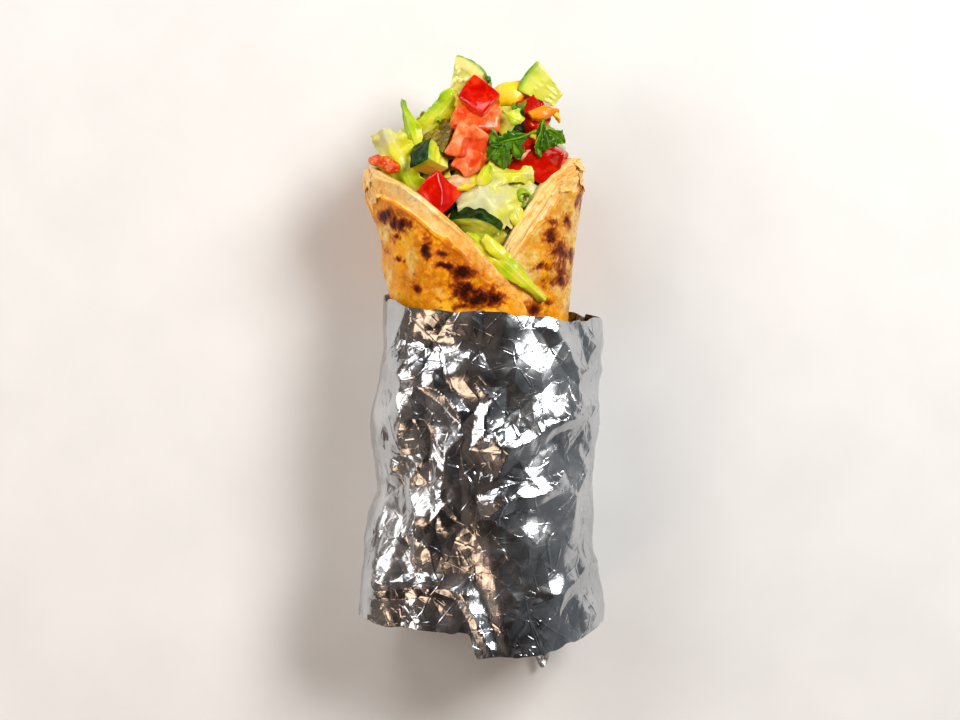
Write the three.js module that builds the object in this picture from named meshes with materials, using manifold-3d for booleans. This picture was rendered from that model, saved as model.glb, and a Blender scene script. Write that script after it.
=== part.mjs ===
// Kati roll: a griddled flatbread rolled round a chopped salad, its lower part wrapped in crumpled foil.
// It lies on its back. +Y runs from the foil's hem to the salad, +X is to the right and +Z is up,
// towards the open front of the roll. Lengths are millimetres and angles are degrees.

import * as THREE from "three";
import { ConvexGeometry } from "three/addons/geometries/ConvexGeometry.js";
import { mergeVertices } from "three/addons/utils/BufferGeometryUtils.js";
import Module from "manifold-3d";

const wasm = await Module();
wasm.setup();

// Driving dimensions

const GAP = 0.3; // clearance between neighbouring pieces

// The roll's axis runs along +Y at this height. The bread is an oval round it.
const AXIS_Z = 29.5;
const BREAD = {
  // half-outlines seen from the front, as [distance along the roll, x]
  left: [
    [26, -26], [105, -27.6], [117, -28.8], [125, -30.8], [135, -32.3],
    [143, -34.5], [151, -37.4], [156, -39], [162, -38],
  ],
  right: [[26, 25], [105, 28], [120, 29.7], [139, 31.9], [151, 33.9], [157, 34.2], [162, 33.4]],
  depthShare: 0.74, // half-depth against half-width
  depthExtra: 1,
  bottom: 26, // the hidden end, inside the foil
  rim: 160.4, // the round edge of the flatbread, at the sides and the back
  rimSlope: 2.2, // higher on the right
  rimWaves: [[1.2, 2.6, 0], [0.6, 5.3, 40]], // height, waves in a turn and phase of each
  thickness: 4.4,
  innerEnd: 105, // where the sheet starts, under the front flap
  wrap: 410, // how far the sheet runs round the roll
  lap: { lift: 5, from: 140, to: 50 }, // the front flap rides up over the sheet's start
  rightEdge: { foot: 95, turn: 90, power: 2 }, // slanting edges of the two flaps
  leftEdge: { foot: 105, turn: 105, power: 1.75 },
  ledge: { height: 7.6, step: 2.6, drop: 1.7 }, // the outer layer stops short of the inner one at the rim
  columns: 54,
  rows: 7,
};

const FOIL = {
  // the wrap's half-outlines and half-depth, in the same way
  left: [
    [-4, -39.4], [19, -39.6], [35, -36.8], [50, -34.2],
    [58, -33], [77, -34], [90, -32.4], [119, -31.3],
  ],
  right: [[-4, 39.4], [16, 39.6], [34, 36.9], [52, 37.6], [85, 38.6], [97, 39.6], [119, 37.6]],
  halfDepth: [[-4, 27.5], [20, 28.5], [60, 30.5], [119, 31]],
  squareness: 2.4, // 2 is an oval, more is boxier
  sink: 1.2, // how far the round underside is pressed flat
  thickness: 1,
  top: { mean: 113.5, side: -3.6, front: -1.8 }, // the upper edge, higher on the left and at the back
  hem: { side: 15.5, leftFront: 5.8, rightFront: 13.9, back: 6 }, // the lower edge hangs lower in front
  tongue: { angle: 300, width: 9, drop: 17 }, // a torn corner of the back panel that shows below the hem
  // the right panel laps over the left one, up to a height
  seam: { angle: 92, lean: 0.2, lift: 1.3, soft: 3, spread: 60, until: 47, fade: 12 },
  // a level fold across the front, with a groove above it
  pleat: { y: 92, height: 5, lift: 1.6, groove: 0.8, angle: 108, spread: 34 },
  crumple: 0.75,
  // the end is folded in just behind the hem, into a dish
  closure: { top: 25, inset: 4, dish: 23, middle: [0, 28], hub: 0.07, power: 2.2, rings: 4 },
  columns: 44,
  rows: 12,
};

const HEAP = {
  bottom: 27,
  top: 184,
  shoulder: 146, // the dome starts here
  tip: 0.15, // width of the dome's flat top against the heap's
  lean: { by: 4, from: 150, to: 184 }, // the dome leans to the right
  inset: 5.6, // from the bread's outside, where the bread is wrapped round
  headInset: 8.5, // the same in the open head
  frontInset: 7, // more on the front of the head, where the large pieces lie
  head: [112, 132],
  bumps: { height: 0.7, waves: [[5, 23], [3, -31]] }, // each wave's turn round the roll and along it
  columns: 20,
  rows: 11,
  closerAtTop: 1.7, // rows crowd towards the dome
  // Small cut pieces fused on all round, by a golden-angle rule.
  bits: { count: 34, from: 151, to: 174, size: [8, 7, 6], uneven: 1.8, out: 0.5, rise: 0.5 },
};

const GOLDEN_ANGLE = 137.5;
const DICE = { chamfer: 1.1, uneven: 1 };
const WEDGE = { bevel: 0.7, curveSegments: 4 };
const LEAF = {
  along: 8, // quads along the leaf and across it
  across: 3,
  root: 0.35, // how far its root narrows
  ragged: 0.09, // unevenness of its outline
  raggedTurn: 260,
  rippleTurn: 330,
};

// Where the pieces of salad lie: [name, centre, way its skin or face looks, spin about that, sizes].
// A tomato die is width, height, depth under its skin, and the rise of a ridge from corner to corner.
const TOMATOES = [
  ["tomato_top", [-0.4, 181.2, 43.4], [0, 0.46, 0.89], 49, [10.4, 11.6, 6, 0]],
  ["tomato_upper", [-1.6, 174, 42.5], [-0.2, -0.3, -0.93], -62, [14.5, 8.5, 9, 0]],
  ["tomato_middle", [-3.6, 166.6, 46], [0.1, 0.1, -1], 20, [11.5, 12, 10, 0]],
  ["tomato_lower", [-3.6, 160.6, 46], [0.3, -0.2, -0.93], 60, [9.5, 7, 8, 0]],
  ["tomato_front", [-14.2, 150.1, 47.5], [0.12, 0, 0.99], 47, [10.4, 10.2, 9, 3]],
  ["tomato_right", [18.6, 161, 41.4], [-0.16, -0.06, 0.98], -20, [16.5, 12, 11, 0]],
  ["tomato_back_right", [16, 176.4, 38], [0.4, 0.2, 0.85], 30, [9.5, 11, 9, 0]],
];

// A cucumber wedge is radius, angle of its sector, thickness and how much of the radius is cut off at its
// point, and its peel looks the way given.
const CUCUMBERS = [
  ["cucumber_top_left", [-4.9, 187.4, 36], [0.66, 0.75, 0.05], 139, [15, 60, 9, 0.1]],
  ["cucumber_top_right", [19.8, 185.4, 36.5], [-0.78, 0.62, 0.05], -128, [24.5, 27, 9, 0.45]],
  ["cucumber_left", [-16.2, 161.4, 46], [-0.66, 0.48, 0.58], -81, [16, 34, 8.5, 0.35]],
  ["cucumber_right", [9.4, 174.2, 40], [0.75, -0.45, 0.42], 64, [16, 44, 9, 0.3]],
  ["cucumber_front", [-1.1, 141, 49.6], [0.1, 0.68, 0.72], -12, [12.5, 92, 9, 0.06]],
  ["pickle", [-13, 169.6, 40.5], [0.75, 0.4, 0.2], 76, [11, 120, 4, 0.06]],
];

// A thin or curved piece is length, width, thickness, cup across it, bend along it, ripple at its edges,
// and how far it narrows at its tip.
const LEAVES = [
  ["lettuce_strip", [8.4, 126.8, 51.6], [0.2, 0.02, 0.98], -130, [34, 6.4, 0.9, 0.6, 4.5, 0.4, 0.55]],
  ["lettuce_centre", [3.4, 146.6, 51], [0.05, 0.18, 0.98], -158, [18, 22, 0.9, 1.6, 1.8, 0.9, 0.45]],
  ["lettuce_stem", [11.8, 143.3, 50.5], [0.3, 0.1, 0.95], 22, [11, 5, 1.8, 1, 0.6, 0.3, 0.4]],
  ["lettuce_upper", [5.8, 156, 47.6], [0, 0.42, 0.9], -84, [23, 8, 0.9, 1.2, 1.6, 1.4, 0.4]],
  ["lettuce_right", [15.2, 150.6, 46.2], [0.25, 0.2, 0.95], -74, [14, 8, 0.9, 1.1, 1, 1, 0.4]],
  ["lettuce_lower", [7.4, 135, 46.8], [0.05, -0.15, 0.98], -78, [15, 9.5, 0.9, 0.8, 0.8, 0.7, 0.4]],
  ["lettuce_left", [-26, 160, 43], [-0.28, -0.05, 0.96], 24, [24, 15, 0.9, 1.8, 1.4, 1.4, 0.25]],
  ["lettuce_left_back", [-23.4, 165.4, 37.5], [-0.3, 0.1, 0.95], 4, [14, 10, 0.9, 1, 1, 0.8, 0.3]],
  ["lettuce_spike", [-22.4, 172, 41.5], [-0.35, 0.05, 0.94], 20, [20, 5.8, 0.9, 0.9, 1.2, 0.6, 0.8]],
  ["lettuce_long", [-15.4, 174.2, 38.8], [-0.1, -0.1, 0.99], -42, [25, 8.4, 0.9, 0.7, 0.7, 0.4, 0.2]],
  ["lettuce_shard", [10.8, 175.2, 47], [0.2, 0.1, 0.97], 64, [7, 4.6, 0.9, 0.5, 0.4, 0.3, 0.9]],
  ["parsley_leaf", [9.8, 166, 49], [-0.05, -0.2, 0.98], -70, [20, 12, 0.9, 1, 1.6, 1.2, 0.5]],
  ["parsley_sprig", [22, 168.4, 47], [0.25, -0.1, 0.96], 12, [13, 9, 0.9, 1, 1.2, 1, 0.6]],
  ["pepper_yellow", [10.2, 183.4, 38], [0.1, 0.25, 0.96], -70, [14, 8, 4.5, 0.8, 1, 0.2, 0.4]],
  ["pepper_orange", [20.6, 176.6, 44.2], [0.2, 0.2, 0.96], -76, [9.5, 4.6, 2.6, 0.6, 0.9, 0.2, 0.6]],
  ["onion", [-6.4, 153.6, 48.4], [0, 0.2, 0.98], -86, [11, 5.5, 1.8, 0.9, 0.9, 0.2, 0.4]],
];

// Chopped relish caught on the left rim: [centre, radius] of each crumb.
const RELISH = [[[-33.2, 161.2, 43.6], 2.3], [[-30.6, 160.4, 45.2], 2.2], [[-28.2, 159, 46.6], 2.4]];

// Materials

const paint = (color, roughness, metalness = 0) =>
  new THREE.MeshStandardMaterial({ color, roughness, metalness });

const MATERIALS = {
  bread: paint(0xdc9a4a, 0.7),
  foil: paint(0xb9bcc0, 0.25, 1),
  salad: paint(0x93a83c, 0.6),
  tomato: paint(0xd8281a, 0.3),
  cucumber: paint(0xb9c04a, 0.35),
  pickle: paint(0x6f661c, 0.35),
  lettuce: paint(0xb4cc48, 0.45),
  parsley: paint(0x2f6a1e, 0.5),
  pepper: paint(0xeab22c, 0.35),
  onion: paint(0xd8c8b0, 0.35),
  relish: paint(0xc8461e, 0.4),
};

// Small helpers

const { degToRad, seededRandom } = THREE.MathUtils;
const smooth = (from, to, x) => {
  const t = THREE.MathUtils.clamp((x - from) / (to - from), 0, 1);
  return t * t * (3 - 2 * t);
};
const bell = (x, width) => Math.exp(-((x / width) ** 2));
const sine = (angle) => Math.sin(degToRad(angle));
const cosine = (angle) => Math.cos(degToRad(angle));

// A smooth curve through [place, value] stops, level beyond its ends.
function through(stops) {
  const slope = (k) => {
    const before = stops[Math.max(k - 1, 0)];
    const after = stops[Math.min(k + 1, stops.length - 1)];
    return (after[1] - before[1]) / (after[0] - before[0]);
  };
  return (place) => {
    const last = stops.length - 1;
    if (place <= stops[0][0]) return stops[0][1];
    if (place >= stops[last][0]) return stops[last][1];
    const k = stops.findIndex((stop) => stop[0] > place) - 1;
    const span = stops[k + 1][0] - stops[k][0];
    const t = (place - stops[k][0]) / span;
    const rise = stops[k + 1][1] - stops[k][1];
    const ends = slope(k) * (1 - t) - slope(k + 1) * t;
    return stops[k][1] + rise * t * t * (3 - 2 * t) + span * t * (1 - t) * ends;
  };
}

// Solids and meshes

function solidOf(geometry) {
  const bare = geometry.clone();
  for (const name of Object.keys(bare.attributes)) {
    if (name !== "position") bare.deleteAttribute(name);
  }
  const merged = mergeVertices(bare);
  const mesh = new wasm.Mesh({
    numProp: 3,
    vertProperties: new Float32Array(merged.attributes.position.array),
    triVerts: new Uint32Array(merged.index.array),
  });
  return new wasm.Manifold(mesh);
}

function geometryOf(solid) {
  const mesh = solid.getMesh();
  const geometry = new THREE.BufferGeometry();
  geometry.setAttribute("position", new THREE.BufferAttribute(mesh.vertProperties, mesh.numProp));
  geometry.setIndex(new THREE.BufferAttribute(mesh.triVerts, 1));
  const flat = geometry.toNonIndexed();
  flat.computeVertexNormals();
  return flat;
}

// The largest body of a solid, without scraps that a cut left loose.
function withoutScraps(solid) {
  return solid.decompose().reduce((best, body) => (body.volume() > best.volume() ? body : best));
}

// A closed wall between two grids of points, front and back, each point(column, row).
// It closes on itself round the columns if ring is true, and has edges on all four sides if not.
function wallGeometry(columns, rows, front, back, ring = false) {
  const points = [];
  const faces = [];
  const across = ring ? columns : columns + 1;
  const layer = across * (rows + 1);
  for (const side of [front, back]) {
    for (let row = 0; row <= rows; row++) {
      for (let column = 0; column < across; column++) points.push(side(column, row));
    }
  }
  const at = (column, row, side) => side * layer + row * across + (column % across);
  const quad = (a, b, c, d) => faces.push(a, b, c, a, c, d);
  for (let column = 0; column < columns; column++) {
    const next = column + 1;
    for (let row = 0; row < rows; row++) {
      quad(at(column, row, 0), at(next, row, 0), at(next, row + 1, 0), at(column, row + 1, 0));
      quad(at(column, row + 1, 1), at(next, row + 1, 1), at(next, row, 1), at(column, row, 1));
    }
    quad(at(column, 0, 1), at(next, 0, 1), at(next, 0, 0), at(column, 0, 0));
    quad(at(column, rows, 0), at(next, rows, 0), at(next, rows, 1), at(column, rows, 1));
  }
  for (let row = 0; row < rows && !ring; row++) {
    quad(at(0, row, 0), at(0, row + 1, 0), at(0, row + 1, 1), at(0, row, 1));
    quad(at(columns, row, 1), at(columns, row + 1, 1), at(columns, row + 1, 0), at(columns, row, 0));
  }
  return new THREE.BufferGeometry().setFromPoints(points).setIndex(faces);
}

// A closed body of rings point(column, row), with a middle point closing each end.
function bodyGeometry(columns, rows, point) {
  const points = [];
  const faces = [];
  for (let row = 0; row <= rows; row++) {
    for (let column = 0; column < columns; column++) points.push(point(column, row));
  }
  const middle = (row) => {
    const ring = points.slice(row * columns, (row + 1) * columns);
    return ring.reduce((sum, p) => sum.add(p), new THREE.Vector3()).divideScalar(columns);
  };
  points.push(middle(0), middle(rows));
  const [foot, head] = [points.length - 2, points.length - 1];
  for (let column = 0; column < columns; column++) {
    const next = (column + 1) % columns;
    for (let row = 0; row < rows; row++) {
      const [a, b] = [row * columns + column, row * columns + next];
      faces.push(a, b, b + columns, a, b + columns, a + columns);
    }
    const top = rows * columns;
    faces.push(foot, next, column, head, top + column, top + next);
  }
  return new THREE.BufferGeometry().setFromPoints(points).setIndex(faces);
}

// Turns a piece made round the origin so that its +Z looks the given way, and puts it in place.
function placed(geometry, centre, faces, spin) {
  const way = new THREE.Vector3(...faces).normalize();
  const turn = new THREE.Quaternion().setFromUnitVectors(new THREE.Vector3(0, 0, 1), way);
  turn.multiply(new THREE.Quaternion().setFromAxisAngle(new THREE.Vector3(0, 0, 1), degToRad(spin)));
  return geometry.applyQuaternion(turn).translate(...centre);
}

// The bread: one sheet wound round the roll, with a slanting edge on each front flap

const breadLeft = through(BREAD.left);
const breadRight = through(BREAD.right);

function breadSection(y) {
  const halfWidth = (breadRight(y) - breadLeft(y)) / 2;
  return {
    x: (breadRight(y) + breadLeft(y)) / 2,
    halfWidth,
    halfDepth: BREAD.depthShare * halfWidth + BREAD.depthExtra,
  };
}

// Height of the sheet's upper edge, a given way round from its start.
function breadTop(turned) {
  const rise = (edge, turn) => 1 - (1 - THREE.MathUtils.clamp(turn / edge.turn, 0, 1)) ** edge.power;
  const { rightEdge, leftEdge } = BREAD;
  const waves = BREAD.rimWaves.map(([height, often, phase]) => height * sine(turned * often + phase));
  const slope = BREAD.rimSlope * cosine(BREAD.innerEnd - turned);
  const rim = BREAD.rim + slope + waves.reduce((sum, wave) => sum + wave);
  const onRight = rightEdge.foot + (rim - rightEdge.foot) * rise(rightEdge, turned);
  const onLeft = leftEdge.foot + (rim - leftEdge.foot) * rise(leftEdge, BREAD.wrap - turned);
  return Math.min(onRight, onLeft);
}

// A point of the sheet: turned round from its start, at y, inward from its outer face.
function breadPoint(turned, y, inward) {
  const { x, halfWidth, halfDepth } = breadSection(y);
  const angle = BREAD.innerEnd - turned;
  const fromEnd = BREAD.wrap - turned;
  const out = BREAD.lap.lift * (1 - smooth(BREAD.lap.to, BREAD.lap.from, fromEnd)) - inward;
  return new THREE.Vector3(
    x + (halfWidth + out) * cosine(angle),
    y,
    AXIS_Z + (halfDepth + out) * sine(angle),
  );
}

// Rows of the sheet as distances below its edge: the ledge first, and then the rest evenly.
function breadRows(length) {
  const { height, step } = BREAD.ledge;
  const rest = length - height - step;
  const even = Array.from({ length: BREAD.rows }, (_, k) => length - (rest * k) / (BREAD.rows - 1));
  return [...even, height, 0];
}

function breadGeometry(grow) {
  const { columns, ledge, thickness } = BREAD;
  const turnedAt = (column) => {
    const extra = degToRad(1) * grow;
    return THREE.MathUtils.lerp(-extra, BREAD.wrap + extra, column / columns);
  };
  const face = (inwardAt) => (column, row) => {
    const turned = turnedAt(column);
    const top = breadTop(turned) + grow;
    const below = breadRows(top - BREAD.bottom + grow)[row];
    const onLedge = 1 - smooth(ledge.height, ledge.height + ledge.step, below);
    return breadPoint(turned, top - below, inwardAt(onLedge));
  };
  const rows = BREAD.rows + 1;
  const outer = face((onLedge) => ledge.drop * onLedge - grow);
  const inner = face(() => thickness + grow);
  return wallGeometry(columns, rows, outer, inner);
}

// The foil: a loose tube with an uneven upper edge and hem, folded in at its end

const foilLeft = through(FOIL.left);
const foilRight = through(FOIL.right);
const foilDepth = through(FOIL.halfDepth);

function foilTop(angle) {
  return FOIL.top.mean + FOIL.top.side * cosine(angle) + FOIL.top.front * sine(angle);
}

function foilHem(angle) {
  const { hem, tongue, seam } = FOIL;
  const up = sine(angle);
  if (up < 0) return hem.side + hem.back * up - tongue.drop * bell(angle - tongue.angle, tongue.width);
  return hem.side - (angle < seam.angle ? hem.rightFront : hem.leftFront) * up;
}

// Large folds of the foil: how far its wall stands out at an angle round the roll and a height along it.
function foilFold(angle, y) {
  const { seam, pleat } = FOIL;
  const pastEdge = seam.angle + seam.lean * (y - seam.until) - angle;
  const onPanel = smooth(-seam.soft, seam.soft, pastEdge) * bell(angle - seam.angle, seam.spread);
  const lapped = seam.lift * onPanel * (1 - smooth(seam.until - seam.fade, seam.until, y));
  const across = bell(angle - pleat.angle, pleat.spread);
  const ridge = bell(y - pleat.y, pleat.height);
  const groove = pleat.groove * bell(y - pleat.y - 2 * pleat.height, pleat.height);
  return lapped + pleat.lift * across * (ridge - groove);
}

// A point of the foil: how far it is folded or crumpled out, and how far in from its outer face.
// Its underside is pressed flat.
function foilPoint(angle, y, out, inward) {
  const halfWidth = (foilRight(y) - foilLeft(y)) / 2 + out - inward;
  const halfDepth = foilDepth(y) + out - inward;
  const power = 2 / FOIL.squareness;
  const squared = (value) => Math.sign(value) * Math.abs(value) ** power;
  const z = foilDepth(y) - FOIL.sink + halfDepth * squared(sine(angle));
  return new THREE.Vector3(
    (foilRight(y) + foilLeft(y)) / 2 + halfWidth * squared(cosine(angle)),
    y,
    Math.max(z, inward),
  );
}

function foilSolid() {
  const { columns, rows, thickness, closure } = FOIL;
  const face = (inward) => (column, row) => {
    const angle = (360 * column) / columns;
    const y = THREE.MathUtils.lerp(foilHem(angle), foilTop(angle), row / rows);
    const crumple = FOIL.crumple * (seededRandom(1 + column * 97 + row * 13) - 0.5) * 2;
    return foilPoint(angle, y, foilFold(angle, y) + crumple, inward);
  };
  const tube = solidOf(wallGeometry(columns, rows, face(thickness), face(0), true));
  const end = solidOf(
    bodyGeometry(columns, closure.rings + 2, (column, row) => {
      const angle = 360 - (360 * column) / columns;
      const foot = foilHem(angle) + closure.inset;
      const y = THREE.MathUtils.lerp(foot, closure.top, Math.max(0, (row - closure.rings) / 2));
      const point = foilPoint(angle, y, foilFold(angle, y), thickness / 2);
      const share = THREE.MathUtils.lerp(closure.hub, 1, Math.min(1, row / closure.rings));
      if (share === 1) return point;
      point.y = THREE.MathUtils.lerp(closure.dish, foot, share ** closure.power);
      point.x = THREE.MathUtils.lerp(closure.middle[0], point.x, share);
      point.z = THREE.MathUtils.lerp(closure.middle[1], point.z, share);
      return point;
    }),
  );
  return withoutScraps(tube.add(end));
}

// The salad: a heap that fills the bread, with small cut pieces fused on, and the larger pieces in it

function heapPoint(angle, y, grow) {
  const { x, halfWidth, halfDepth } = breadSection(Math.min(y, BREAD.rim));
  const { shoulder, top } = HEAP;
  const dome = Math.sqrt(Math.max(0, 1 - Math.max(0, (y - shoulder) / (top - shoulder)) ** 2));
  const share = THREE.MathUtils.lerp(HEAP.tip, 1, dome);
  const open = smooth(...HEAP.head, y);
  const front = HEAP.frontInset * Math.max(0, sine(angle));
  const inset = THREE.MathUtils.lerp(HEAP.inset, HEAP.headInset + front, open);
  const waves = HEAP.bumps.waves.map(([round, along]) => sine(angle * round + y * along));
  const bump = open * HEAP.bumps.height * waves.reduce((sum, wave) => sum + wave);
  const lean = HEAP.lean.by * smooth(HEAP.lean.from, HEAP.lean.to, y);
  return new THREE.Vector3(
    x + lean + ((halfWidth - inset) * share + bump + grow) * cosine(angle),
    y,
    AXIS_Z + ((halfDepth - inset) * share + bump + grow) * sine(angle),
  );
}

function coreSolid(grow) {
  const { columns, rows, bottom, top } = HEAP;
  const core = bodyGeometry(columns, rows, (column, row) => {
    const y = THREE.MathUtils.lerp(bottom, top, 1 - (1 - row / rows) ** HEAP.closerAtTop);
    const point = heapPoint((-360 * column) / columns, y, grow);
    point.y += grow * ((2 * row) / rows - 1);
    return point;
  });
  return solidOf(core);
}

// The small pieces of the heap, each a die set into the core.
function heapBits() {
  const { bits } = HEAP;
  return Array.from({ length: bits.count }, (_, k) => {
    const angle = k * GOLDEN_ANGLE;
    const y = THREE.MathUtils.lerp(bits.from, bits.to, k / bits.count);
    const out = new THREE.Vector3(cosine(angle), bits.rise, sine(angle)).normalize();
    const centre = heapPoint(angle, y, bits.out);
    const size = bits.size.map((length, axis) => {
      return length + bits.uneven * (seededRandom(50 + 3 * k + axis) - 0.5);
    });
    return solidOf(placed(diceGeometry(size, 0, k), centre.toArray(), out.toArray(), k * GOLDEN_ANGLE));
  });
}

// A die with chamfered edges and uneven corners, its skin on top, which may rise to a ridge.
function diceGeometry([width, height, depth, ridge = 0], grow, seed) {
  const points = [];
  for (let corner = 0; corner < 8; corner++) {
    const signs = [corner & 1, corner & 2, corner & 4].map((bit) => (bit ? 1 : -1));
    const half = [width, height, depth].map((length, axis) => {
      const uneven = DICE.uneven * (seededRandom(7 * seed + 3 * corner + axis) - 0.5);
      return (length / 2 + uneven + grow) * signs[axis];
    });
    for (let axis = 0; axis < 3; axis++) {
      const point = half.map((value, k) => (k === axis ? value : value - signs[k] * DICE.chamfer));
      points.push(new THREE.Vector3(...point));
    }
  }
  for (const sign of ridge ? [-1, 1] : []) {
    const inside = sign / 2;
    points.push(new THREE.Vector3(width * inside, height * inside, depth / 2 + ridge + grow));
  }
  return new ConvexGeometry(points);
}

// A sector of a thick slice, with its peel on top and its point cut off.
function wedgeGeometry([radius, angle, thickness, cut], grow) {
  const outer = radius + grow;
  const half = degToRad(angle / 2);
  const foot = radius * cut * Math.cos(half) - grow;
  const side = (foot + grow / Math.sin(half)) * Math.tan(half);
  const reach = half + Math.asin(grow / outer);
  const shape = new THREE.Shape();
  shape.moveTo(-side, foot);
  shape.lineTo(side, foot);
  shape.absarc(0, 0, outer, Math.PI / 2 - reach, Math.PI / 2 + reach, false);
  shape.closePath();
  const depth = thickness + 2 * grow - 2 * WEDGE.bevel;
  const geometry = new THREE.ExtrudeGeometry(shape, {
    depth,
    curveSegments: WEDGE.curveSegments,
    bevelEnabled: true,
    bevelSegments: 1,
    bevelSize: WEDGE.bevel,
    bevelThickness: WEDGE.bevel,
    bevelOffset: -WEDGE.bevel,
  });
  return geometry.translate(0, (-radius * (1 + cut)) / 2, -depth / 2).rotateX(Math.PI / 2);
}

// A thin wavy leaf or a curved slice. Its length runs along +Y and it faces +Z.
function leafGeometry([length, width, thickness, cup, bend, ripple, tip], grow, seed) {
  const { along, across } = LEAF;
  const phase = 360 * seededRandom(300 + seed);
  const face = (offset) => (column, row) => {
    const v = (2 * column) / across - 1;
    const u = (2 * row) / along - 1;
    const narrowing = 1 - tip * smooth(-0.1, 1, u) - LEAF.root * smooth(0.2, 1, -u);
    const ragged = 1 + LEAF.ragged * sine(LEAF.raggedTurn * u + phase + 120 * Math.sign(v));
    const wave = ripple * v * sine(LEAF.rippleTurn * u + phase);
    return new THREE.Vector3(
      v * ((width / 2) * narrowing * ragged + grow),
      u * (length / 2 + grow),
      cup * (0.5 - v * v) + bend * (0.4 - u * u) + wave + offset,
    );
  };
  const half = thickness / 2 + 2 * grow;
  return wallGeometry(across, along, face(half), face(-half));
}

function relishSolid(grow) {
  const crumbs = RELISH.map(([centre, radius]) =>
    solidOf(new THREE.IcosahedronGeometry(radius + grow).translate(...centre)),
  );
  return crumbs.reduce((all, crumb) => all.add(crumb));
}

// The whole roll. The pieces named first stay whole, and each later one is cut back from those.

const roll = new THREE.Group();
const keepOuts = [];

function add(name, material, solid) {
  const mesh = new THREE.Mesh(geometryOf(solid), MATERIALS[material]);
  mesh.name = name;
  roll.add(mesh);
}

function cutBack(solid) {
  return withoutScraps(keepOuts.reduce((left, taken) => left.subtract(taken), solid));
}

function settle(name, material, build) {
  add(name, material, cutBack(build(0)));
  keepOuts.push(build(GAP));
}

// A salad piece is named after what it is made of.
function madeOf(name) {
  return name.split("_")[0];
}

settle("bread", "bread", (grow) => solidOf(breadGeometry(grow)));
const core = coreSolid(GAP);
keepOuts.push(core);
settle("relish", "relish", relishSolid);
const kinds = [[TOMATOES, diceGeometry], [CUCUMBERS, wedgeGeometry], [LEAVES, leafGeometry]];
for (const [pieces, shape] of kinds) {
  pieces.forEach(([name, centre, faces, spin, size], seed) => {
    settle(name, madeOf(name), (grow) => solidOf(placed(shape(size, grow, seed), centre, faces, spin)));
  });
}
const heap = heapBits()
  .filter((bit) => keepOuts.every((taken) => taken === core || bit.intersect(taken).isEmpty()))
  .reduce((whole, bit) => whole.add(bit), coreSolid(0));
add("salad_heap", "salad", heap);
add("foil", "foil", foilSolid());

// The origin is on the surface that the roll lies on, under the middle of its outline.
const box = new THREE.Box3().setFromObject(roll);
const middle = box.getCenter(new THREE.Vector3());
roll.position.set(-middle.x, -middle.y, -box.min.z);

export default roll;
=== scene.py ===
"""Looks of a kati roll: salad in a flaky flatbread, wrapped in foil, lying with its open side up.

Lengths in the tables are millimetres in the roll's own axes: x across, y along towards the salad, z up.
Angles are degrees. Bumps are rows of a noise's height, size and seed.
"""
import math
from types import SimpleNamespace as Values

import bpy
import numpy as np
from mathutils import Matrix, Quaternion, Vector


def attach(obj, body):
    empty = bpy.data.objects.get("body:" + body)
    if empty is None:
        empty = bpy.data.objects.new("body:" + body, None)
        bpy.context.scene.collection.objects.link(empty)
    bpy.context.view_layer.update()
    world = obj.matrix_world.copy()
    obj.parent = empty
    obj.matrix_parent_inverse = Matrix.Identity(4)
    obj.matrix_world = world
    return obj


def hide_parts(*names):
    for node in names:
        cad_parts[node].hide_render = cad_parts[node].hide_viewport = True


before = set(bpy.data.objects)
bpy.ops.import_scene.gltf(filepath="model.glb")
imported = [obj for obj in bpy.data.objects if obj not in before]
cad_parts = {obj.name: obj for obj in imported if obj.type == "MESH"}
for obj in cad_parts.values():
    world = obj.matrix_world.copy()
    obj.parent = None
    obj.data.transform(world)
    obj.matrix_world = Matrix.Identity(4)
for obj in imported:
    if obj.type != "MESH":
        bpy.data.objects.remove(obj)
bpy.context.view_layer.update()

MM = 0.001
ORIGIN = np.array([0.207, 95.504, 0.0])
AXIS_Z = 29.5
ARC_PER_DEGREE = 0.6
# The noise of a ragged edge is squeezed across it, and its two sides read it apart
EDGE_SQUEEZE = 0.03
EDGE_APART = 9

# Flatbread: outline stops are [y, x]
BREAD_LEFT = [[26, -26], [105, -27.6], [117, -28.8], [125, -30.8], [135, -32.3], [143, -34.5],
              [151, -37.4], [156, -39], [162, -38]]
BREAD_RIGHT = [[26, 25], [105, 28], [120, 29.7], [139, 31.9], [151, 33.9], [157, 34.2], [162, 33.4]]
BREAD_DEPTH_SHARE = 0.74
BREAD_DEPTH_EXTRA = 1.0
BREAD_BOTTOM = 26.0
BREAD_RIM = 160.4
BREAD_RIM_SLOPE = 2.2
BREAD_RIM_WAVES = [[1.2, 2.6, 0], [0.6, 5.3, 40]]
BREAD_RIM_BUMPS = [[0.5, 6, 31], [0.3, 2, 32]]
BREAD_THICKNESS = 4.4
BREAD_START = 105.0
BREAD_WRAP = 410.0
BREAD_LAP = Values(lift=5.0, over=(50, 140))
RIGHT_EDGE = Values(foot=95.0, turn=90.0, power=2.0)
LEFT_EDGE = Values(foot=105.0, turn=105.0, power=1.75)
BREAD_BUMPS = [[0.55, 17, 33], [0.4, 8, 34], [0.14, 2.4, 35], [0.06, 1.1, 37]]
BLISTERS = Values(height=0.9, size=9, past=0.2, seed=36)
INNER_BUMPS = [[0.3, 5, 41]]
# Columns round the sheet: start, end and count, closer on the shown flaps
BREAD_COLUMNS = [[0, 112, 195], [112, 280, 80], [280, BREAD_WRAP, 225]]
# Rows down from the rim: reach and count of the close ones, count and spread of the rest
OUTER_ROWS = Values(reach=16.0, close=64, rest=71, spread=1.4)
INNER_ROWS = Values(reach=26.0, close=24, rest=9, spread=1.0)
# Inside the foil the bread is drawn in, clear of the foil's dents
HIDDEN_INSET = 4.0
HIDDEN_OVER = (100.0, 80.0)
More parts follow.
